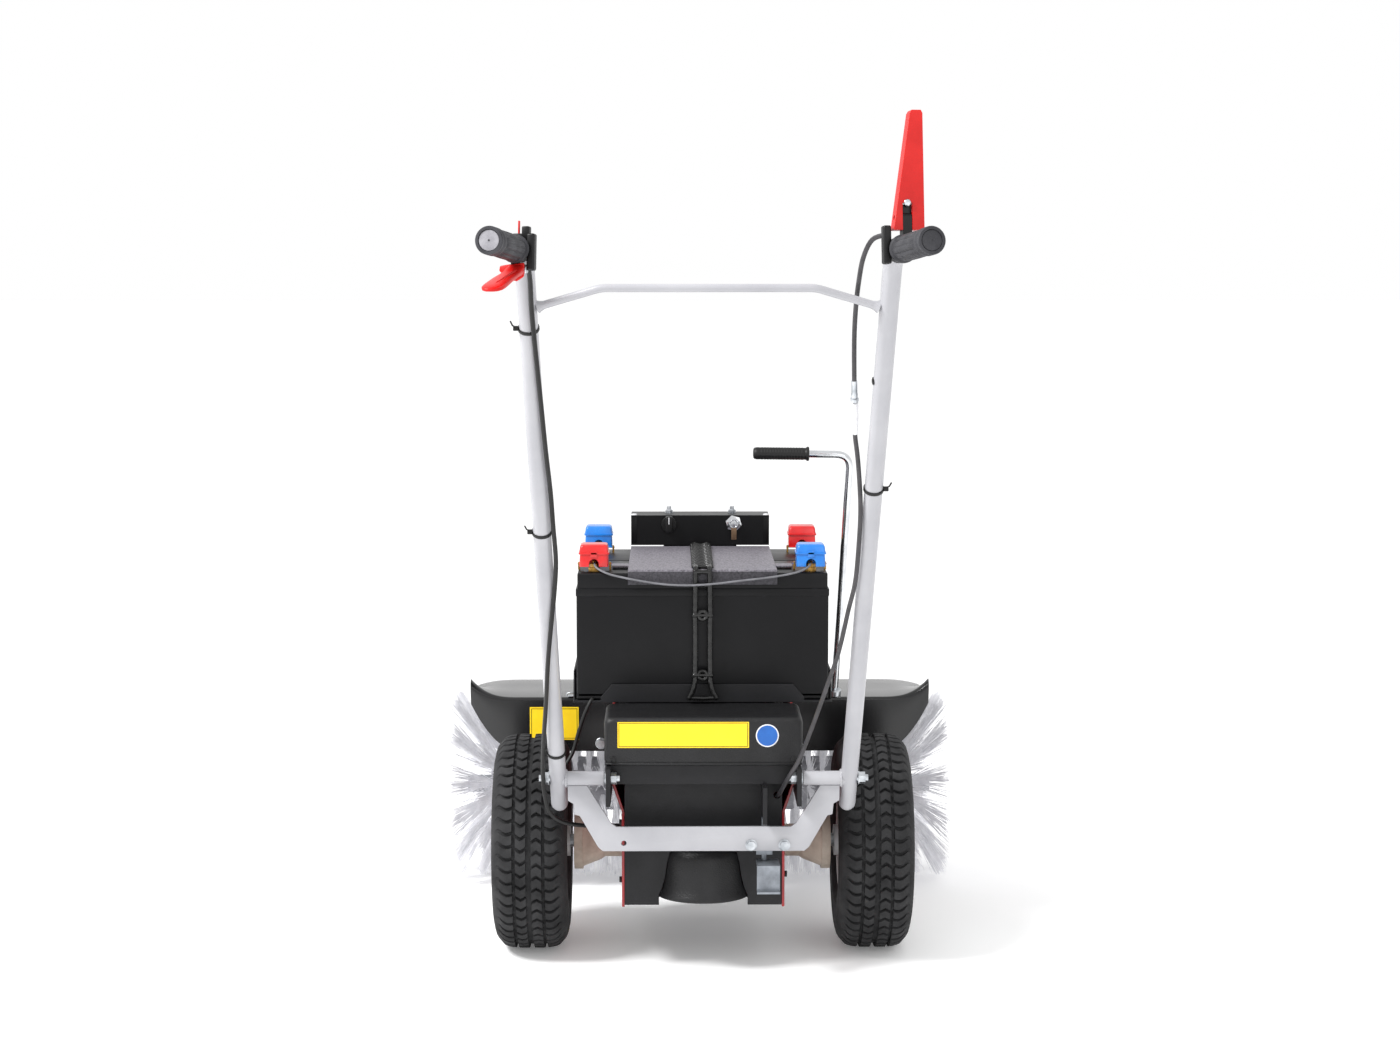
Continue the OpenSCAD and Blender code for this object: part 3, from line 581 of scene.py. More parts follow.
def hexagon(at, axis, length, across, soft=0.8):
    """A six-sided bolt head or nut with chamfered corners."""
    axis, side, other = axes_of(axis)
    corner = across / 2 / cos(pi / 6)
    levels = ((0, corner - soft), (soft, corner), (length - soft, corner),
              (length, corner - soft))
    return rings_mesh([circle(Vector(at) + axis * along, side, other, r, 6)
                       for along, r in levels])


def ring_bar(at, axis, big, small, turns=32, sides=10):
    """A round ring of a round bar."""
    _, side, other = axes_of(axis)
    return sweep(circle(Vector(at), side, other, big, turns), small, sides, loop=True)


def piece(name, parts, body, materials, replaces=(), side=1, matrix=None,
          sharp=35, blend=None):
    """One object from meshes or (mesh, material number) parts, riding on a body."""
    verts, faces, numbers = [], [], []
    for part in parts:
        (points, polygons), number = part if isinstance(part[1], int) else (part, 0)
        start = len(verts)
        for p in points:
            q = matrix @ Vector(p) if matrix else Vector(p)
            verts.append(((q[0] * side) * MM, (q[1] + AXLE_Y) * MM, q[2] * MM))
        for f in polygons:
            f = tuple(start + i for i in f)
            faces.append(f[::-1] if side < 0 else f)
            numbers.append(number)
    mesh = bpy.data.meshes.new(name)
    mesh.from_pydata(verts, [], faces)
    for made in materials if isinstance(materials, list) else [materials]:
        mesh.materials.append(made)
    mesh.polygons.foreach_set("material_index", numbers)
    mesh.polygons.foreach_set("use_smooth", [True] * len(faces))
    whole = bmesh.new()
    whole.from_mesh(mesh)
    bmesh.ops.recalc_face_normals(whole, faces=whole.faces[:])
    whole.to_mesh(mesh)
    whole.free()
    mesh.set_sharp_from_angle(angle=radians(sharp))
    made = linked(name, mesh)
    if blend:
        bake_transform(made)
    else:
        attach(made, body)
    if replaces:
        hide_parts(*replaces)
    return made


def at(x, y, z):
    """A place in the frame, in metres."""
    return (x * MM, (y + AXLE_Y) * MM, z * MM)


def modifier(made, name, kind, **settings):
    """Adds a modifier with its settings."""
    added = made.modifiers.new(name, kind)
    for setting, value in settings.items():
        setattr(added, setting, value)


def carve(made, body, *cutters):
    """Cuts holes in a finished piece."""
    for shape in cutters:
        cutter = piece("cutter", [shape], body, made.data.materials[0])
        modifier(made, "notch", "BOOLEAN", object=cutter)
        bpy.context.view_layer.objects.active = made
        bpy.ops.object.modifier_apply(modifier="notch")
        bpy.data.objects.remove(cutter)
    made.data.set_sharp_from_angle(angle=radians(40))


def rounded_ring(x, y, z, half_x, half_y, corner, steps=5):
    """A level ring in the shape of a rectangle with round corners."""
    ring = []
    for turn, sx, sy in ((0, 1, 1), (1, -1, 1), (2, -1, -1), (3, 1, -1)):
        for i in range(steps + 1):
            a = pi / 2 * (turn + i / steps)
            ring.append(Vector((x + sx * (half_x - corner) + corner * cos(a),
                                y + sy * (half_y - corner) + corner * sin(a), z)))
    return ring


# ---------------- CAD nodes that show

def dress(material, width, *names):
    """Gives CAD nodes a material and softened edges."""
    for name in names:
        node = NODES[name]
        node.data.materials.clear()
        node.data.materials.append(material)
        modifier(node, "weld", "WELD", merge_threshold=1e-5)
        if width:
            modifier(node, "flat", "DECIMATE", decimate_type="DISSOLVE", angle_limit=radians(1))
            modifier(node, "bevel", "BEVEL", width=width * MM, segments=2,
                     limit_method="ANGLE", angle_limit=radians(40), use_clamp_overlap=True)
        modifier(node, "shade", "WEIGHTED_NORMAL", weight=60, keep_sharp=False)


def dress_nodes():
    dress(red_paint(), 0.8, "side_plate_left", "side_plate_right")
    dress(powder_black(), 0.7, "rear_panel", "handle_mount", "head_bracket", "head_frame")
    dress(powder_black(), 0.6, "battery_tray")
    dress(box_black(), 0.7, "control_box")
    dress(machined_steel(), 0.6, "controller", "motor_pulley", "transaxle_pulley", "idler_arm")
    dress(motor_grey(), 1.0, "drive_motor", "brush_motor")
    dress(cast_alloy(), 1.2, "transaxle", "gear_case")
    dress(zinc(), 0.5, "hinge_pins", "yoke_bolts")
    dress(latch_grey(), 0.5, "latch_bracket", "latch_pedal")
    dress(plate_grey(), 0.7, "battery_clamp")
    dress(brass(), 0.5, "terminal_bolts")
    dress(rubber_black(), 0, "traction_belt")
    dress(rim_white(), 0.8, "rim_left", "rim_right")
    dress(machined_steel(), 0.8, "axle_shaft_left", "axle_shaft_right", "brush_shaft")
    dress(plastic_black(), 0.7, "lever_brackets")
    dress(lever_red(), 2.0, "drive_lever")


# ---------------- wheels

PITCHES = 54
# x, radius on a block, radius in the cut between blocks
TREAD = [(0, 158.8, 158.8), (3.6, 158.6, 158.6), (4.6, 164.8, 158.8), (9, 165, 158.8),
         (13, 165, 158.8), (17, 165, 158.8), (20.8, 164.8, 158.6), (21.8, 158.6, 158.6),
         (25.4, 158.4, 158.4), (26.6, 164.4, 158.2), (31, 164, 158), (36, 163.2, 157.4),
         (41, 161.9, 156.8), (45.4, 160, 155.6), (47.6, 157.6, 154.6), (50.4, 154.6, 153.4)]
SIDEWALL = [(54, 151), (57.4, 146), (59.6, 139), (60.2, 134), (61, 132.6), (61, 130.2),
            (60.2, 129), (60.9, 120), (60.8, 111), (59.4, 101), (60, 99.6), (60, 97.6),
            (58.6, 96), (56.4, 92.4), (53, 89), (50.2, 87.6), (50.2, 78.2), (42, 78.2),
            (47, 92), (52, 118), (50, 143), (39, 152), (20, 155)]
# share of a pitch and whether that edge is down in the cut
CUTS = [(0.0, 0), (0.05, 1), (0.27, 1), (0.32, 0), (0.66, 0)]


def tread_shift(x):
    """How far along the tread, in pitches, the cut across the tyre lies at x."""
    a = abs(x)
    if a <= 4.6:
        return 0.22 + 0.22 * x / 4.6
    start = 0.44 if x > 0 else 0.0
    if a <= 22:
        chevron = 0.3 * (1 - abs(a - 12.6) / 9)
        return start + chevron if x > 0 else -chevron
    base = 0.6 if x > 0 else 0.22
    if a < 26:
        return start + (base - start) * (a - 22) / 4
    lean = (a - 26) / 21
    dip = -0.24 * sin(min(1, lean) * pi)
    fade = 1 - min(1, max(0, (a - 50) / 8))
    return (base + dip + 0.2 * min(lean, 1.1)) * fade


def tyre(side, hand):
    """A ring for each edge of each tread cut, all round the wheel."""
    half = [(x, top, cut) for x, top, cut in TREAD] + [(x, r, r) for x, r in SIDEWALL]
    left = [(-x, top, cut) for x, top, cut in half[:0:-1]]
    middle = len(TREAD) + len(SIDEWALL) - 1
    profile = left + half + [(0, 156.5, 156.5)]
    rings = []
    for i in range(PITCHES):
        for share, cut in CUTS:
            ring = []
            for k, (x, top, low) in enumerate(profile):
                shift = tread_shift(x) if abs(k - middle) < len(TREAD) + 3 else 0
                a = tau * (i + share + shift) / PITCHES
                r = low if cut else top
                ring.append(Vector((TRACK * side + x * TYRE_SHARE, -r * cos(a),
                                    AXLE_Z + r * sin(a))))
            rings.append(ring)
    piece("tyre_tread_" + hand, [rings_mesh(rings, loop=True)], "wheel_" + hand,
          tyre_rubber(), ("tyre_" + hand,), sharp=28)


def wheel_hardware(side, hand):
    """The hub nut, the four rim bolts and the valve."""
    parts = [(hexagon((TRACK + 33, 0, AXLE_Z), RIGHT, 5.5, 24, 1.2), 0),
             (lathe([(0, 14), (0, 16), (1.6, 16), (2.2, 15.4)], (TRACK + 31.5, 0, AXLE_Z),
                    RIGHT), 0)]
    for k in range(4):
        a = radians(90 * k)
        y, z = 33 * cos(a), AXLE_Z + 33 * sin(a)
        parts.append((lathe([(0, 8), (1.5, 8), (2, 7.4)], (TRACK - 1.5, y, z), RIGHT, 24), 0))
        parts.append((hexagon((TRACK + 0.5, y, z), RIGHT, 6, 13), 0))
    stem = [(TRACK + 4, 0, AXLE_Z - 66), (TRACK + 20, 0, AXLE_Z - 67), (TRACK + 36, 0, AXLE_Z - 70)]
    parts.append((sweep(stem, [5, 4, 3], 16), 1))
    parts.append((lathe([(0, 3.6), (2, 3.8), (9, 3.8), (10.5, 3)],
                        (TRACK + 34, 0, AXLE_Z - 69.6), (1, 0, -0.15), 16), 1))
    piece("wheel_hardware_" + hand, parts, "wheel_" + hand, [zinc(), rubber_black()],
          side=side)


# ---------------- brush

BRUSH_Y = 490
BRUSH_Z = 160


def bristle(root, tip, width, bow):
    """One tapered bristle as a three-sided strand that bows on the way."""
    _, side, other = axes_of(tip - root)
    rings = []
    for share, r in ((0, 1.0), (0.5, 0.95), (1.0, 0.55)):
        middle = root.lerp(tip, share) + bow * sin(share * pi)
        rings.append([middle + (side * cos(k * 2.094) + other * sin(k * 2.094))
                      * width * r for k in range(3)])
    return rings_mesh(rings)


def tuft(x, angle, lean, count, spread):
    """A bundle of bristles that fans out from one hole of the core."""
    made = []
    for _ in range(count):
        a = angle + RNG.gauss(0, spread)
        reach = RNG.uniform(150, 159.6)
        tip_x = max(40, min(423, x + lean + RNG.gauss(0, 4.5)))
        root = Vector((x + RNG.uniform(-3, 3), 44 * cos(angle), 44 * sin(angle)))
        tip = Vector((tip_x, reach * cos(a), reach * sin(a)))
        bow = Vector((RNG.uniform(-2, 2), RNG.uniform(-2, 2), RNG.uniform(-2, 2)))
        strand = bristle(root, tip, RNG.uniform(0.5, 0.85), bow)
        made.append(([p + Vector((0, BRUSH_Y, BRUSH_Z)) for p in strand[0]], strand[1]))
    return made


def brush(side, hand):
    """A core and its rows of tufts, the last three leaning out past the end."""
    parts = [(lathe([(0, 16), (0, 44), (3, 46), (313, 46), (316, 44), (316, 16)],
                    (40, BRUSH_Y, BRUSH_Z), RIGHT, 64), 1)]
    rows = 14
    leans = {rows - 1: 66, rows - 2: 46, rows - 3: 24}
    for row in range(rows):
        x = 50 + row * 23
        tufts = 12 if row > rows - 4 else 14
        for k in range(tufts):
            angle = tau * (k + 0.5 * (row % 2)) / tufts + RNG.gauss(0, 0.03)
            lean = leans.get(row, RNG.uniform(-3, 3))
            count, spread = (84, 0.11) if row in leans else (42, 0.1)
            parts += [(strand, 0) for strand in tuft(x, angle, lean, count, spread)]
    piece("bristles_" + hand, parts, "brush", [bristle_white_painted_glow(), bristle_core()],
          ("brush_" + hand,), side=side)


# ---------------- hood and swing lever

HOOD_BACK = 308
HOOD_TOP = 339
HOOD_FOOT = 249
HOOD_FLAT = 300  # half the width that stays flat
HOOD_TURN = 80  # how much of each end turns up
HOOD_THICK = 2.6


def hood_line(x, inset):
    """The hood's outline at x: at its ends it rises by the wall and falls to the front."""
    s = (max(0, abs(x) - HOOD_FLAT) / HOOD_TURN) ** 2
    back, top = HOOD_BACK + inset, HOOD_TOP - inset + 30 * s ** 1.5
    foot, soft = HOOD_FOOT + 78 * s, 5 + 8 * s
    line = [(back + 8 * s, foot), (back, (foot + top) / 2), (back, top - soft)]
    for i in range(1, 6):
        a = pi / 2 * i / 6
        line.append((back + soft * (1 - cos(a)), top - soft * (1 - sin(a))))
    fall = 39 * s ** 1.5
    line += [(back + soft, top), (380, top + 0.6 - fall * 0.5), (440, top + 1.6 - fall),
             (480, top + 2 - fall), (512, top - 1 - fall), (545, top - 9 - fall),
             (570, top - 19 - fall), (592, top - 33 - fall), (612, top - 47 - fall),
             (630, top - 62 - fall), (645, top - 84 - fall)]
    return line


def hood():
    end = [HOOD_FLAT + HOOD_TURN * i / 32 for i in range(33)]
    stations = [-x for x in end[::-1]] + [80 * i for i in range(-3, 4)] + end
    rings = []
    for x in stations:
        outer = hood_line(x, 0)
        inner = hood_line(x, HOOD_THICK)
        inner = [(y - (2.2 if i > len(inner) - 5 else 0), z) for i, (y, z) in enumerate(inner)]
        rings.append([Vector((x, y, z)) for y, z in outer + inner[::-1]])
    made = piece("hood_sheet", [rings_mesh(rings)], "brush_head", sheet_black(),
                 ("hood",), sharp=40)
    carve(made, "brush_head", block((-40, 300, 240), (40, 315, 290), 0),
          block((214, 310, 325), (234, 332, 345), 0))


def hood_details():
    clip = [(-221, 305, 341.4), (-221, 303, 346), (-214, 302.5, 348.4), (-206, 303, 346),
            (-206, 305, 341.4)]
    parts = [(sweep(fillet(clip, 3), 1.1, 8), 0),
             (hexagon((-164, 308.2, 262), BACK, 6, 13), 0),
             (lathe([(0, 9.5), (1.4, 9.5), (1.8, 9)], (-164, 308.2, 262), BACK, 24), 0),
             (hexagon((164, 308.2, 262), BACK, 6, 13), 0),
             (block((-219, 309, 339.6), (-208, 320, 341.6), 0.4), 0)]
    piece("hood_fasteners", parts, "brush_head", zinc())
    piece("hood_sticker", [(block((-282, 307.3, 268), (-201, 308.1, 323), 0.2, 1), 0),
                           *sticker_frame(-282, -201, 268, 323, 307.2, 2.4)],
          "brush_head", [sticker_yellow(), plastic_black()])


def sticker_frame(x0, x1, z0, z1, y, inset):
    """A thin border line of four bars, standing a hair proud of its sticker."""
    a, b, c, d = x0 + inset, x1 - inset, z0 + inset, z1 - inset
    return [(block((lo[0], y - 0.05, lo[1]), (hi[0], y + 0.05, hi[1]), 0), 1)
            for lo, hi in (((a, c), (b, c + 0.9)), ((a, d - 0.9), (b, d)),
                           ((a, c), (a + 0.9, d)), ((b - 0.9, c), (b, d)))]


def swing_lever():
    rod = fillet([(223, 324, 330.5), (240, 200, 750), (96, 200, 752)], 24, 10)
    collar = [(0, 6.2), (0, 10), (1, 11), (9, 11), (10, 10), (10, 6.2)]
    piece("swing_rod", [sweep(rod, 6, 24)], "brush_head", chrome(), ("swing_lever",))
    piece("swing_socket", [lathe(collar, (223.6, 319.6, 341.5), (0.04, -0.28, 0.96), 32)],
          "brush_head", zinc())
    profile = [(0, 6.3), (0, 10.6), (1, 11.5), (3.2, 11.5), (4.6, 10.4), (6, 9.6)]
    for i in range(15):
        x = 9 + i * 4.6
        profile += [(x, 9.7), (x + 1, 10), (x + 3, 10), (x + 3.9, 9.7)]
    profile += [(80, 9.8), (84, 9.9), (87.5, 9.2), (89.4, 7.4), (90, 4)]
    piece("swing_lever_grip", [lathe(profile, (174, 200, 751.2), (-1, 0, 0.012), 48, 12, 0.5,
                                     (8, 79))],
          "brush_head", rubber_black(), ("swing_grip",))


# ---------------- covers and batteries

def rear_cover():
    """The moulded cover: a box with round edges and a lip along its foot."""
    levels = ((-64, 0), (-150, 0), (-180, 0), (-187, 0.6), (-190.6, 1.8), (-193.6, 4.2),
              (-195, 8))
    body = rings_mesh([cover_ring(y, inset, 10) for y, inset in levels])
    lip = extruded([(-145.5, 318.8), (145.5, 318.8), (145.5, 322.4), (-145.5, 322.4)],
                   -194.9, -66, "y", 1.1)
    groove = extruded([(-143, 322.2), (143, 322.2), (143, 324.6), (-143, 324.6)],
                      -193.4, -66, "y")
    piece("cover_shell", [body, lip, groove], "chassis", pebbled_black(),
          ("rear_cover",), sharp=50)
    piece("cover_screws", [lathe([(0, 4.6), (1.2, 4.4), (2, 3)], (x, -195, 328), BACK, 20)
                           for x in (-134, 134)], "chassis", plastic_black())


def cover_ring(y, inset, corner):
    x, top, foot = 147 - inset, 390 - inset, 324.5
    line = [(-x, foot)]
    for side in (-1, 1):
        for i in range(9):
            a = pi / 2 * (i / 8 if side < 0 else 1 - i / 8)
            line.append((side * (x - corner + corner * cos(a)),
                         top - corner + corner * sin(a)))
    line.append((x, foot))
    return [Vector((px, y, pz)) for px, pz in line]


def cover_stickers():
    piece("cover_sticker", [(block((-127, -195.7, 345), (67, -194.6, 383.5), 0.2, 1), 0),
                            *sticker_frame(-127, 67, 345, 384, -195.75, 1.6)],
          "chassis", [sticker_yellow(), plastic_black()])
    white = lathe([(0, 17), (0.5, 17), (0.5, 0)], (94, -195, 363), BACK, 48)
    blue = lathe([(0.4, 15.2), (0.8, 15.2), (0.8, 0)], (94, -195, 363), BACK, 48)
    piece("cover_sign", [(white, 0), (blue, 1)], "chassis", [sleeve_white(), sticker_blue()])


def bell():
    profile = [(110, 66.8), (109.9, 68.6), (110.4, 69.8), (112, 70), (116, 68.6), (122, 66),
               (130, 63.4), (140, 61.3), (150, 59.8), (160, 58.6), (168, 57.2), (174, 55.8),
               (178.5, 53), (181.8, 50), (183.6, 46.5), (184, 42), (184, 10), (181.2, 10),
               (181.2, 45), (176, 52), (162, 55.2), (140, 58.4), (121, 63), (113, 66.6)]
    piece("bell_shell", [lathe(profile, (0, BELL_Y, 0), UP, 96)], "chassis",
          pebbled_black(), ("bell_cover",), sharp=50)


def battery(end, y):
    """A case with its lid, ribs, and a pad under each terminal."""
    x, depth = 192.5, 172
    lid = BATTERY_TOP - 24
    parts = [block((-x + 0.9, y + 0.9, TRAY_Z + 3.6), (x - 0.9, y + depth - 0.9, lid), 3, 3),
             block((-x + 2.4, y + 2, lid - 2), (x - 2.4, y + depth - 2, BATTERY_TOP), 2.2, 3),
             block((-x, y, lid - 11), (x, y + depth, lid), 0.8),
             block((-x + 0.8, y + 0.9, TRAY_Z + 9), (x - 0.8, y + depth - 0.9, TRAY_Z + 13), 0.5)]
    for side in (-1, 1):
        parts.append(block((side * 165 - 16, y + 6, BATTERY_TOP - 6),
                           (side * 165 + 16, y + 46, BATTERY_TOP + 0.2), 1))
    piece("battery_case_" + end, parts, "chassis", battery_black(),
          ("battery_" + end,))


def strap():
    """The rubber ladder: two rails, their rungs, and the rings on its hanging end."""
    top = BATTERY_TOP + 10
    parts = []
    for side in (-1, 1):
        path = [(10.5, 262, top), (10.5, 180, top), (10.5, 90, top), (10.5, 0, top),
                (10.5, -64, top), (10.5, -70.4, top - 4), (10.8, -71, top - 14),
                (11, -71, 560), (11.2, -71, 538), (11.6, -71, 526), (11.2, -71, 514),
                (11, -71, 490), (11, -71, 462), (11.4, -71, 446), (11, -71, 434),
                (11.6, -71, 424), (15, -71, 410), (20, -70.6, 399.5)]
        path = smoothed([(side * x, y, z) for x, y, z in path], 5)
        radii = [3.9 + 0.3 * sin(i * 0.9) ** 2 for i in range(len(path))]
        parts.append(sweep(path, radii, 14))
    for z in (526, 434):
        parts.append(ring_bar((0, -72, z), (0, 1, 0), 6.4, 3.1, 24, 10))
        parts.append(sweep([(-12, -71.4, z), (0, -72, z), (12, -71.4, z)], [4.6, 3, 4.6], 12))
    for y in range(-56, 253, 22):
        link = [(-13.4, y, top), (-10.5, y, top + 0.8), (-6, y, top), (0, y, top - 0.4),
                (6, y, top), (10.5, y, top + 0.8), (13.4, y, top)]
        parts.append(sweep(link, [3.6, 5.4, 4, 3, 4, 5.4, 3.6], 14))
    for z in (592, 572):
        parts.append(sweep([(-10, -71, z), (0, -71, z), (10, -71, z)], [4.4, 3, 4.4], 14))
    parts.append(sweep([(-20, -70.6, 399.5), (0, -71, 398.5), (20, -70.6, 399.5)], 3, 12))
    piece("ladder_strap", parts, "chassis", strap_black(),
          ("hold_down_strap",))


def battery_wire():
    route = [(-164, -36, 603), (-164, -48, 600.5), (-158, -58, 595), (-138, -66, 587),
             (-100, -72, 579.5), (-60, -78, 574), (-20, -80, 572.5), (20, -80, 575),
             (60, -78, 579.5), (100, -74, 583.5), (138, -68, 589.5), (157, -60, 596),
             (164, -48, 600.5), (164, -36, 603)]
    piece("sense_wire", [sweep(smoothed(route, 6), 1.6, 10)], "chassis", wire_grey(),
          ("battery_wire",))


CAP_Z = 597.5


def terminal_cap(name, body, node, x, y, paint):
    """An open-bottomed flip cap: flared skirt, overhanging lid, notches over the terminal."""
    levels = [(0, 20.4, 19.4, 2.6), (0, 21.8, 20.8, 3), (0.8, 22, 21, 3), (12, 21.6, 20.6, 3),
              (18.6, 21.2, 20.2, 3), (19, 23.2, 22, 3.4), (21.4, 23.2, 22, 3.4),
              (21.8, 22, 21, 3.4), (29.6, 21.2, 20.2, 3.6), (32.6, 20, 19, 4),
              (33.8, 17.6, 16.6, 4), (34, 14, 13, 4)]
    inner = [(31, 18, 17, 2), (18, 19, 18, 2), (0, 20.4, 19.4, 2.6)]
    rings = [rounded_ring(x, y, CAP_Z + z, hx, hy, r) for z, hx, hy, r in levels]
    under = [rounded_ring(x, y, CAP_Z + z, hx, hy, r) for z, hx, hy, r in inner[::-1]]
    made = piece(name, [rings_mesh(rings, foot=False), rings_mesh(under, foot=False)], body,
                 paint, (node,), sharp=40)
    weld(made)
    notch = sweep([(x, y - 26, CAP_Z + 4.5), (x, y, CAP_Z + 4.5)], 7.5, 20, False)
    foot = block((x - 7.5, y - 26, CAP_Z - 3), (x + 7.5, y, CAP_Z + 4.5), 0)
    carve(made, body, notch, foot)
    near = y < 100
    hinge = y + (21 if near else -21)
    trim = [sweep([(x - 25, hinge, CAP_Z), (x + 25, hinge, CAP_Z)], 1.2, 16),
            block((x - 5, y + (-22 if near else 20), CAP_Z + 14),
                  (x + 5, y + (-20 if near else 22), CAP_Z + 24), 0.8)]
    piece(name + "_trim", trim, body, paint)


def weld(made):
    """Joins the shell and its lining along their shared rim."""
    mesh = bmesh.new()
    mesh.from_mesh(made.data)
    bmesh.ops.remove_doubles(mesh, verts=mesh.verts[:], dist=1e-6)
    bmesh.ops.recalc_face_normals(mesh, faces=mesh.faces[:])
    mesh.to_mesh(made.data)
    mesh.free()


def clamp_flange():
    """A darker grey sheet on the face of the clamp plate's turned-down edge: painted shade."""
    top = BATTERY_TOP + 3.4
    piece("clamp_flange_shade_sheet", [block((-113.2, -66.6, top - 20.2), (113.2, -64, top), 0.8)],
          "chassis", flange_shade_grey())


CAPS = [("left", "rear", -165, -30, "red"), ("right", "rear", 165, -30, "blue"),
        ("left", "front", -165, 254, "blue"), ("right", "front", 165, 254, "red")]


def terminal_caps():
    paints = {"red": cap_finish("cap_red_plastic", (206, 14, 18), (180, 10, 14)),
              "blue": cap_finish("cap_blue_plastic", (14, 118, 206), (8, 98, 182))}
    for hand, end, x, y, colour in CAPS:
        terminal_cap(f"cap_shell_{hand}_{end}", f"cap_{hand}_{end}", f"cap_{colour}_{end}",
                     x, y, paints[colour])


def control_details():
    """What stands on the control box: studs, screws, the knob and the key."""
    parts = []
    for x in (-51, 53):
        parts.append((sweep([(x, 320, 644.5), (x, 320, 656)], 3.8, 18, False), 0))
        parts.append((hexagon((x, 320, 646.2), UP, 4.4, 11), 0))
        parts.append((lathe([(0, 6), (0, 7), (1.2, 7), (1.2, 4)], (x, 320, 645), UP,
                            28), 0))
    for x in (-108, 108):
        parts.append((lathe([(0, 5), (1.4, 4.8), (2.2, 2.8)], (x, 284, 645), UP, 20), 1))
        parts.append((block((x - 4.4, 277.1, 600), (x + 4.4, 278.2, 642), 0.4), 2))
    piece("box_studs", parts, "chassis", [zinc(), sleeve_white(), box_black()])
    knob = lathe([(0, 3.4), (0, 12), (0.8, 13), (3.6, 13), (5, 12), (5.4, 8)],
                 (-51, 277.6, 630), BACK, 56)
    fin = block((-57, 257.4, 617.6), (-45, 273, 644.6), 2.8, 3)
    mark = block((-51.7, 257.1, 632), (-50.3, 258, 643), 0.2)
    shaft = lathe([(0, 4), (10, 4)], (-51, 286, 630), BACK, 24)
    piece("knob_cap", [(knob, 0), (fin, 0), (shaft, 0), (mark, 1)], "knob",
          [plastic_black(), sleeve_white()], ("control_knob",))
    barrel = lathe([(-12, 6.8), (0, 6.8), (0, 8.6), (0.8, 9.4), (9, 9.4), (10, 8.6), (10.4, 5)],
                   (55, 277.8, 632), BACK, 48)
    collar = lathe([(0, 8), (0, 12.4), (0.8, 13.4), (2.6, 13.4), (3.4, 12)], (55, 277.8, 632),
                   BACK, 6)
    bow = ring_bar((55, 264, 632), (0, 1, 0), 6.6, 1.2, 28, 8)
    blade = block((54, 262.6, 626), (56, 269, 638), 0.3)
    hanging = block((50.6, 262.6, 606), (59.4, 265, 626), 1, 2)
    piece("key_and_lock", [(barrel, 0), (collar, 0), (bow, 0), (blade, 0), (hanging, 1)], "key",
          [chrome(), key_brown()], ("key_switch",))


def chassis_details():
    """Small bolts and screws on the panel, and a lead from the tray."""
    parts = []
    for side, z in ((-1, 222), (-1, 135), (1, 143)):
        parts.append(hexagon((side * 122, -140, z), (side, 0, 0), 4, 9, 0.6))
    for x in (-104, 104):
        parts.append(lathe([(0, 4.4), (1.2, 4.2), (2.2, 2.4)], (x, -153.4, 276), BACK, 20))
    piece("panel_bolts", parts, "chassis", plastic_black())
    lead = [(-168, -58, 396), (-172, -62, 390), (-180, -66, 372), (-189, -70, 345),
            (-197, -76, 318), (-206, -84, 302)]
    piece("tray_lead", [sweep(smoothed(lead, 5), 3, 12)], "chassis", rubber_black())


# ---------------- handle

def grip_frame():
    """The right grip's own axes: back along it, and up from it, at the tube's knee."""
    return (Matrix.Translation(TUBE_KNEE) @ Matrix.Rotation(GRIP_SPLAY, 4, "Z")
            @ Matrix.Rotation(-GRIP_RISE, 4, "X"))


def grip_point(x, y, z):
    return grip_frame() @ Vector((x, y, z))


def handle_tube(side, hand):
    down = (TUBE_FOOT - TUBE_KNEE).normalized()
    out = (grip_point(0, -1, 0) - TUBE_KNEE).normalized()
    path = [TUBE_FOOT, TUBE_FOOT.lerp(TUBE_KNEE, 0.5), TUBE_KNEE + down * 60]
    turn = fillet([TUBE_KNEE + down * 60, TUBE_KNEE, TUBE_KNEE + out * 60], 46, 12)
    tube = sweep(path + turn[1:-1] + [TUBE_KNEE + out * 136], TUBE_R, 40)
    stub = lathe([(146.8, 6), (146.8, 9.9), (147.4, 10.5), (210, 10.5), (212, 9), (212, 6)],
                 (0, HINGE[0], HINGE[1]), RIGHT, 40)
    bead = weld_bead(side, Vector((203, HINGE[0] + 1, HINGE[1])), RIGHT, 11.2)
    piece("tube_" + hand, [tube, stub, bead], "handle", handle_paint(),
          ("handle_tube_" + hand,), side=side)


def weld_bead(side, centre, axis, radius):
    """A rippled bead of weld round a joint."""
    count = 72
    _, normal, other = axes_of(axis)
    radii = [2.0 + 0.35 * sin(tau * k / count * 18 + side) for k in range(count)]
    return sweep(circle(centre, normal, other, radius, count), radii, 10, loop=True)


def crossbar():
    """The bent rod between the tubes, flared where it meets them."""
    line = [(-218, -676, 1003), (-137, -692, 1027), (137, -692, 1027), (218, -676, 1003)]
    path = fillet(line, 8)
    inward = (path[1] - path[0]).normalized()
    outward = (path[-1] - path[-2]).normalized()
    flare = [path[0], path[0] + inward * 4, path[0] + inward * 9]
    finish = [path[-1] - outward * 9, path[-1] - outward * 4, path[-1]]
    radii = [8.6, 6.6, 5.3] + [5.3] * (len(path) - 2) + [5.3, 6.6, 8.6]
    rod = sweep(flare + path[1:-1] + finish, radii, 20, False)
    piece("cross_rod", [rod], "handle", handle_paint(), ("crossbar",))


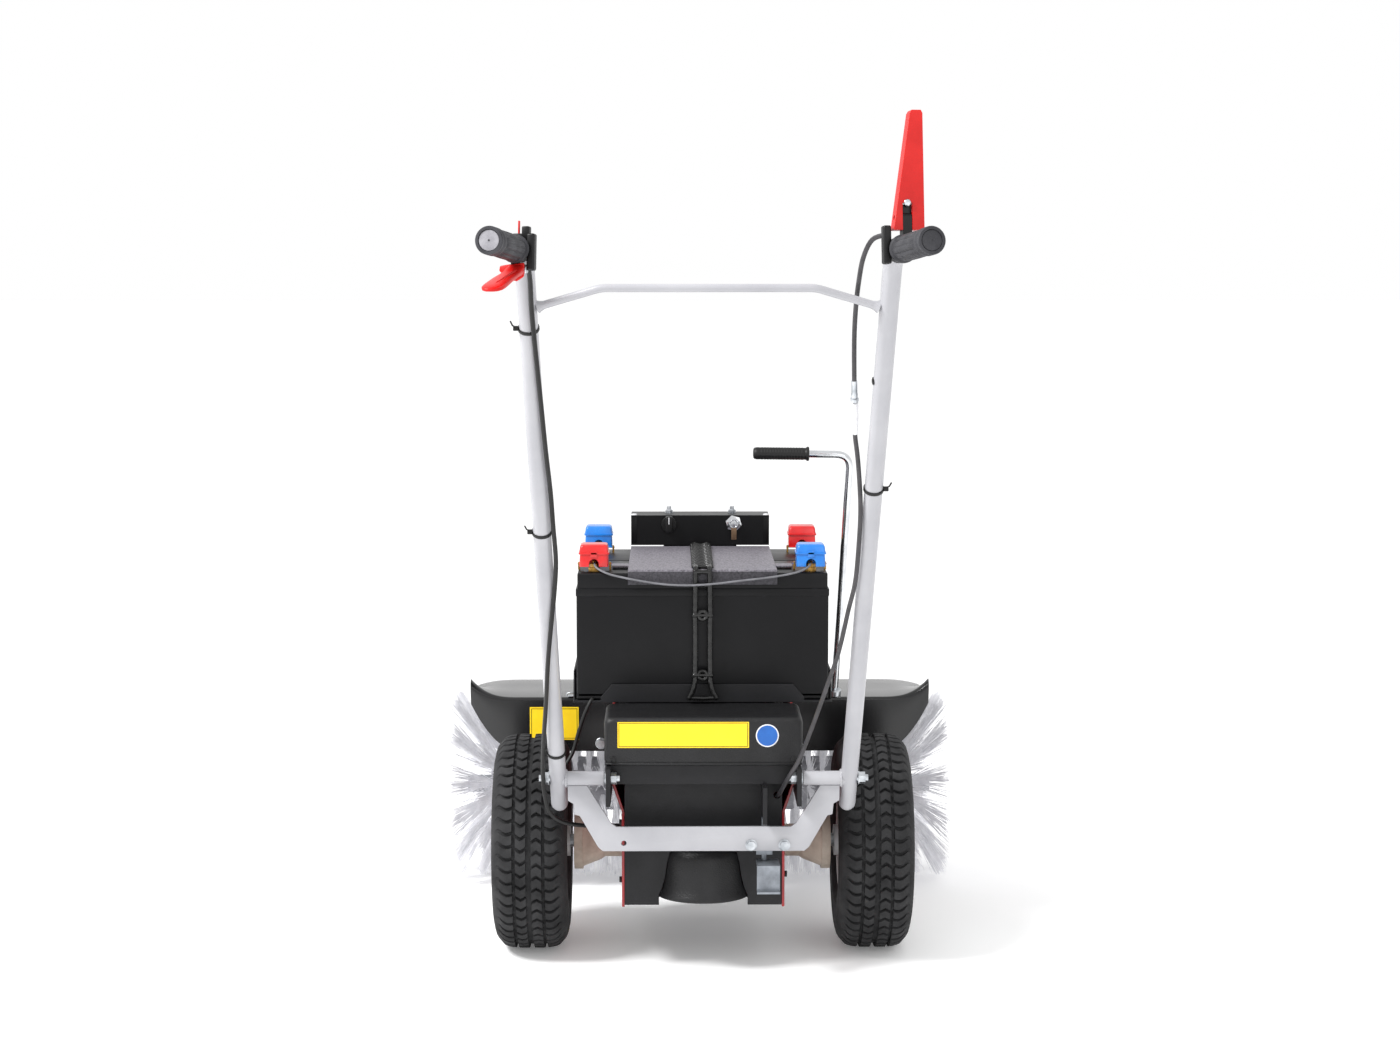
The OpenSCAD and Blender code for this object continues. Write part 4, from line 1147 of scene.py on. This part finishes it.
def grip(side, hand):
    """The ribbed sleeve and the disc in its end."""
    profile = [(38, 12.6), (38, 17.2), (38.8, 18), (42, 18), (43, 17.2), (44, 15.4), (48, 15.2),
               (50, 16.4), (60, 16.8), (90, 17), (118, 16.8), (124, 16.2), (126, 15),
               (128.5, 14.6), (131, 14.8), (133, 16.8), (135, 17.6), (142, 17.6), (144, 16.6),
               (146, 16.2), (148, 16.8), (150, 17.6), (153, 17.6), (154.4, 16.6), (154.8, 13.6),
               (153, 13), (153, 5), (153.6, 1)]
    body = lathe(profile, (0, 0, 0), BACK, 72, 12, 1.5, (50, 124))
    disc = lathe([(153.1, 0), (153.1, 12.8), (153.8, 12.4), (154, 8), (153.6, 4), (153.9, 1.4),
                  (153.2, 1.2), (153.2, 0)], (0, 0, 0), BACK, 48)
    # The left end disc carries a painted reflection; the right one stays grip rubber.
    end = disc_painted_reflection() if side < 0 else grip_rubber()
    piece("grip_sleeve_" + hand, [(body, 0), (disc, 1)], "handle", [grip_rubber(), end],
          ("grip_" + hand,), side=side, matrix=grip_frame())


SCREW = [(0, 5.4), (1, 5.6), (2.4, 5), (3, 3.4)]
RIGHT_PIVOT = (-27, 40)
LEFT_PIVOT = (-29, -24.5)


def paddle():
    """The short lever under the left grip: a dished blade that widens to a rounded tip."""
    pivot = Matrix.Translation((0, *LEFT_PIVOT)) @ Matrix.Rotation(radians(17), 4, "X")
    rings = []
    stations = [(6, 11, 6.6, 0), (0, 11, 7, 0), (-10, 11, 7, 0), (-18, 11, 6.2, -0.2),
                (-26, 11.6, 4.2, -0.6), (-40, 12.2, 3.8, -0.4), (-60, 13.2, 3.8, 0),
                (-80, 14, 3.8, 0.2), (-96, 14.6, 3.6, 0.2), (-106, 14, 3.4, 0.2),
                (-113, 11.5, 3, 0.1), (-117.6, 7.5, 2.2, 0), (-119.4, 3, 1.2, 0)]
    for y, half, thick, sag in stations:
        ring = []
        for k in range(24):
            a = tau * k / 24
            c, s = cos(a), sin(a)
            x = half * copysign(abs(c) ** 0.6, c)
            z = thick * copysign(abs(s) ** 0.6, s) + sag * (1 - (x / half) ** 2)
            ring.append(pivot @ Vector((x + (1.2 if y < -50 else 0), y, z)))
        rings.append(ring)
    rib = sweep([pivot @ Vector((-6, -26, 4)), pivot @ Vector((-3, -60, 4)),
                 pivot @ Vector((0, -92, 3.8))], [1.6, 1.4, 0.8], 10)
    piece("brush_paddle", [rings_mesh(rings), rib], "left_lever", lever_red(),
          ("brush_lever",), side=-1, matrix=grip_frame(), sharp=50)


def lever_hardware():
    """The screws, clamps and small fittings that carry the two levers."""
    right = [lathe(SCREW, (18.6, *RIGHT_PIVOT), RIGHT, 24),
             lathe(SCREW, (-2.6, *RIGHT_PIVOT), (-1, 0, 0), 24),
             lathe([(0, 4.4), (1.2, 4.4), (2.2, 3.6), (2.4, 1)], (8, -35, 58), (0, -1, 0.1), 24)]
    piece("lever_screws_right", right, "handle", zinc(), matrix=grip_frame())
    left = [lathe(SCREW, (side * 10.8, *LEFT_PIVOT), (side, 0, 0), 24) for side in (1, -1)]
    piece("lever_screws_left", left, "handle", zinc(), side=-1, matrix=grip_frame())
    post = [block((2.4, -31.5, 38), (13.6, -25, 56.4), 1.2), clamp_body(-18, 30)]
    piece("bracket_body_right", post, "handle", plastic_black(), matrix=grip_frame())
    horn = [clamp_body(-26, 20), block((-16, -33, 12), (-6, -22, 29), 1.6),
            block((-12, -32, 8), (6, -24, 20), 1.4)]
    piece("bracket_body_left", horn, "handle", plastic_black(), side=-1, matrix=grip_frame())
    fin = [block((-2.5, -30, 17), (-0.5, -26, 36), 0.6)]
    piece("bracket_fin", fin, "handle", lever_red(), side=-1, matrix=grip_frame())
    outline = [(-11, -17), (12, -19.5), (20, -21), (21, -27), (10, -38), (-2, -40), (-11, -34)]
    cheek = [extruded(outline, -37, -33.4, "y", 1)]
    piece("lever_cheek", cheek, "left_lever", lever_red(), side=-1,
          matrix=grip_frame(), sharp=50)


def clamp_body(low, high):
    """The moulded clamp beside the tube that carries a lever."""
    return block((-23, -34, low), (-12.8, -20, high), 2.4, 3)


def tube_at(z):
    """Where the right tube's middle is at a height."""
    share = (z - TUBE_FOOT[2]) / (TUBE_KNEE[2] - TUBE_FOOT[2])
    return TUBE_FOOT + (TUBE_KNEE - TUBE_FOOT) * share


def cable_ties():
    parts = []
    axis = (TUBE_KNEE - TUBE_FOOT).normalized()
    for z, side, out in ((975, -1, 1), (693, -1, 1), (345, -1, 1), (755, 1, 1)):
        centre = tube_at(z)
        centre.x *= side
        line = Vector((axis.x * side, axis.y, axis.z))
        parts.append(lathe([(-2.3, 12.7), (-2.3, 13.8), (-1.8, 14.1), (1.8, 14.1), (2.3, 13.8),
                            (2.3, 12.7)], centre, line, 48))
        head = centre + Vector((side * out * 16.4, -3, 0))
        parts.append(block(head - Vector((3.4, 4, 3.2)), head + Vector((3.4, 4, 3.2)), 1))
        tail = [head + Vector((0, 2, 1)), head + Vector((side * 4, -7, 4)),
                head + Vector((side * 6, -14, 9))]
        parts.append(sweep(tail, 1.1, 8))
    piece("zip_ties", parts, "handle", rubber_black(), ("cable_ties",))


RIGHT_ROUTE = [
    (222, -737, 1094), (206, -722, 1088), (196, -706, 1066), (192, -680, 1035), (190, -655, 1000),
    (190, -630, 960), (193, -590, 905), (195, -570, 870), (197, -548, 833), (202, -530, 800),
    (206, -512, 765), (209, -492, 725), (209, -466, 679), (207, -425, 619), (200, -388, 574),
    (190, -345, 511), (178, -312, 464), (160, -270, 399), (141, -234, 338), (124, -212, 302),
    (114, -187, 277), (110, -158, 266)]
LEFT_ROUTE = [
    (-226, -742, 1052), (-225, -722, 1034), (-225, -698, 1005), (-223, -665, 960),
    (-218, -608, 879), (-214, -559, 810), (-210, -515, 753), (-208, -482, 702),
    (-206, -447, 650), (-210, -414, 600), (-215, -393, 559), (-222, -353, 496),
    (-227, -308, 432), (-233, -258, 367), (-236, -222, 317), (-234, -216, 280),
    (-226, -208, 250), (-206, -188, 232), (-172, -164, 222), (-140, -144, 218),
    (-123, -134, 216)]


def cables():
    piece("drive_cable", [sweep(smoothed(RIGHT_ROUTE, 5), 3.2, 14)], None, cable_grey(),
          ("cable_right",),
          blend=("chassis", "handle", at(112, -170, 270), at(190, -345, 511)))
    piece("brush_cable", [sweep(smoothed(LEFT_ROUTE, 5), 3.2, 14)], None, rubber_black(),
          ("cable_left",),
          blend=("chassis", "handle", at(-125, -136, 216), at(-233, -222, 300)))


def cable_adjuster():
    start, end = Vector((193, -590, 905)), Vector((195, -570, 870))
    line = (end - start).normalized()
    parts = [(lathe([(0, 3.3), (1, 4), (20, 4), (21, 4.6), (26, 4.6), (27, 3.4)], start, line,
                    20), 0),
             (hexagon(start + line * 27, line, 6, 10), 0),
             (lathe([(0, 3.3), (1, 5), (20, 5), (34, 4.6), (48, 4.2), (50, 3.3)],
                    start + line * 34, (0.05, 0.49, -0.87), 20), 1)]
    piece("cable_adjuster", parts, "handle", [zinc(), sleeve_white()])
    centre = tube_at(905)
    plug = lathe([(0, 5), (0, 5.4), (1.2, 5), (2, 3)], centre + Vector((-12.2, -1, 0)),
                 (-1, -0.1, 0), 24)
    piece("tube_plug", [plug], "handle", rubber_black())


def coil():
    turns, steps = 5.5, 110
    path = []
    for i in range(steps):
        a = tau * turns * i / steps
        path.append((90 + 5.1 * cos(a), -184.2 + 5.1 * sin(a),
                     188.2 + 19.6 * i / steps))
    made = piece("latch_coil", [sweep(path, 0.8, 8)], "handle", spring_steel(),
                 ("latch_spring",))
    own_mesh(made)


def yoke():
    """The bent plate across the tube feet, with its free hole and two bolts."""
    edge = [(201, 289.4), (200.5, 267), (192, 262), (190.5, 246), (183, 244), (156, 197),
            (149, 191)]
    inside = [(172, 289.4), (137, 233), (129, 227.5)]
    outline = edge + [(-x, z) for x, z in edge[::-1]]
    outline += [(-x, z) for x, z in inside] + inside[::-1]
    made = piece("yoke_plate", [extruded(outline, -200, -194, "y", 0.8)], "handle",
                 handle_paint(), ("yoke",), sharp=40)
    carve(made, "handle", sweep([(-118, -205, 203), (-118, -190, 203)], 4, 32, False))
    bolts = []
    for x in (70.5, 119.5):
        bolts.append(lathe([(0, 8.8), (1.2, 8.8), (1.5, 8.3)], (x, -200.1, 200), BACK, 32))
        bolts.append(hexagon((x, -201.2, 200), BACK, 5.4, 12.6))
    piece("yoke_screws", bolts, "handle", zinc())


# ---------------- build

def both(part):
    """Builds the left one of a pair and then the right one."""
    for side, hand in ((-1, "left"), (1, "right")):
        part(side, hand)


def build():
    make_camera()
    cables()
    make_lights()
    make_floor()
    dress_nodes()
    both(tyre)
    both(wheel_hardware)
    both(brush)
    hood()
    hood_details()
    swing_lever()
    rear_cover()
    cover_stickers()
    bell()
    battery("rear", -58.7)
    battery("front", 116.3)
    strap()
    battery_wire()
    clamp_flange()
    terminal_caps()
    control_details()
    chassis_details()
    both(handle_tube)
    crossbar()
    both(grip)
    paddle()
    lever_hardware()
    cable_ties()
    cable_adjuster()
    coil()
    yoke()


build()
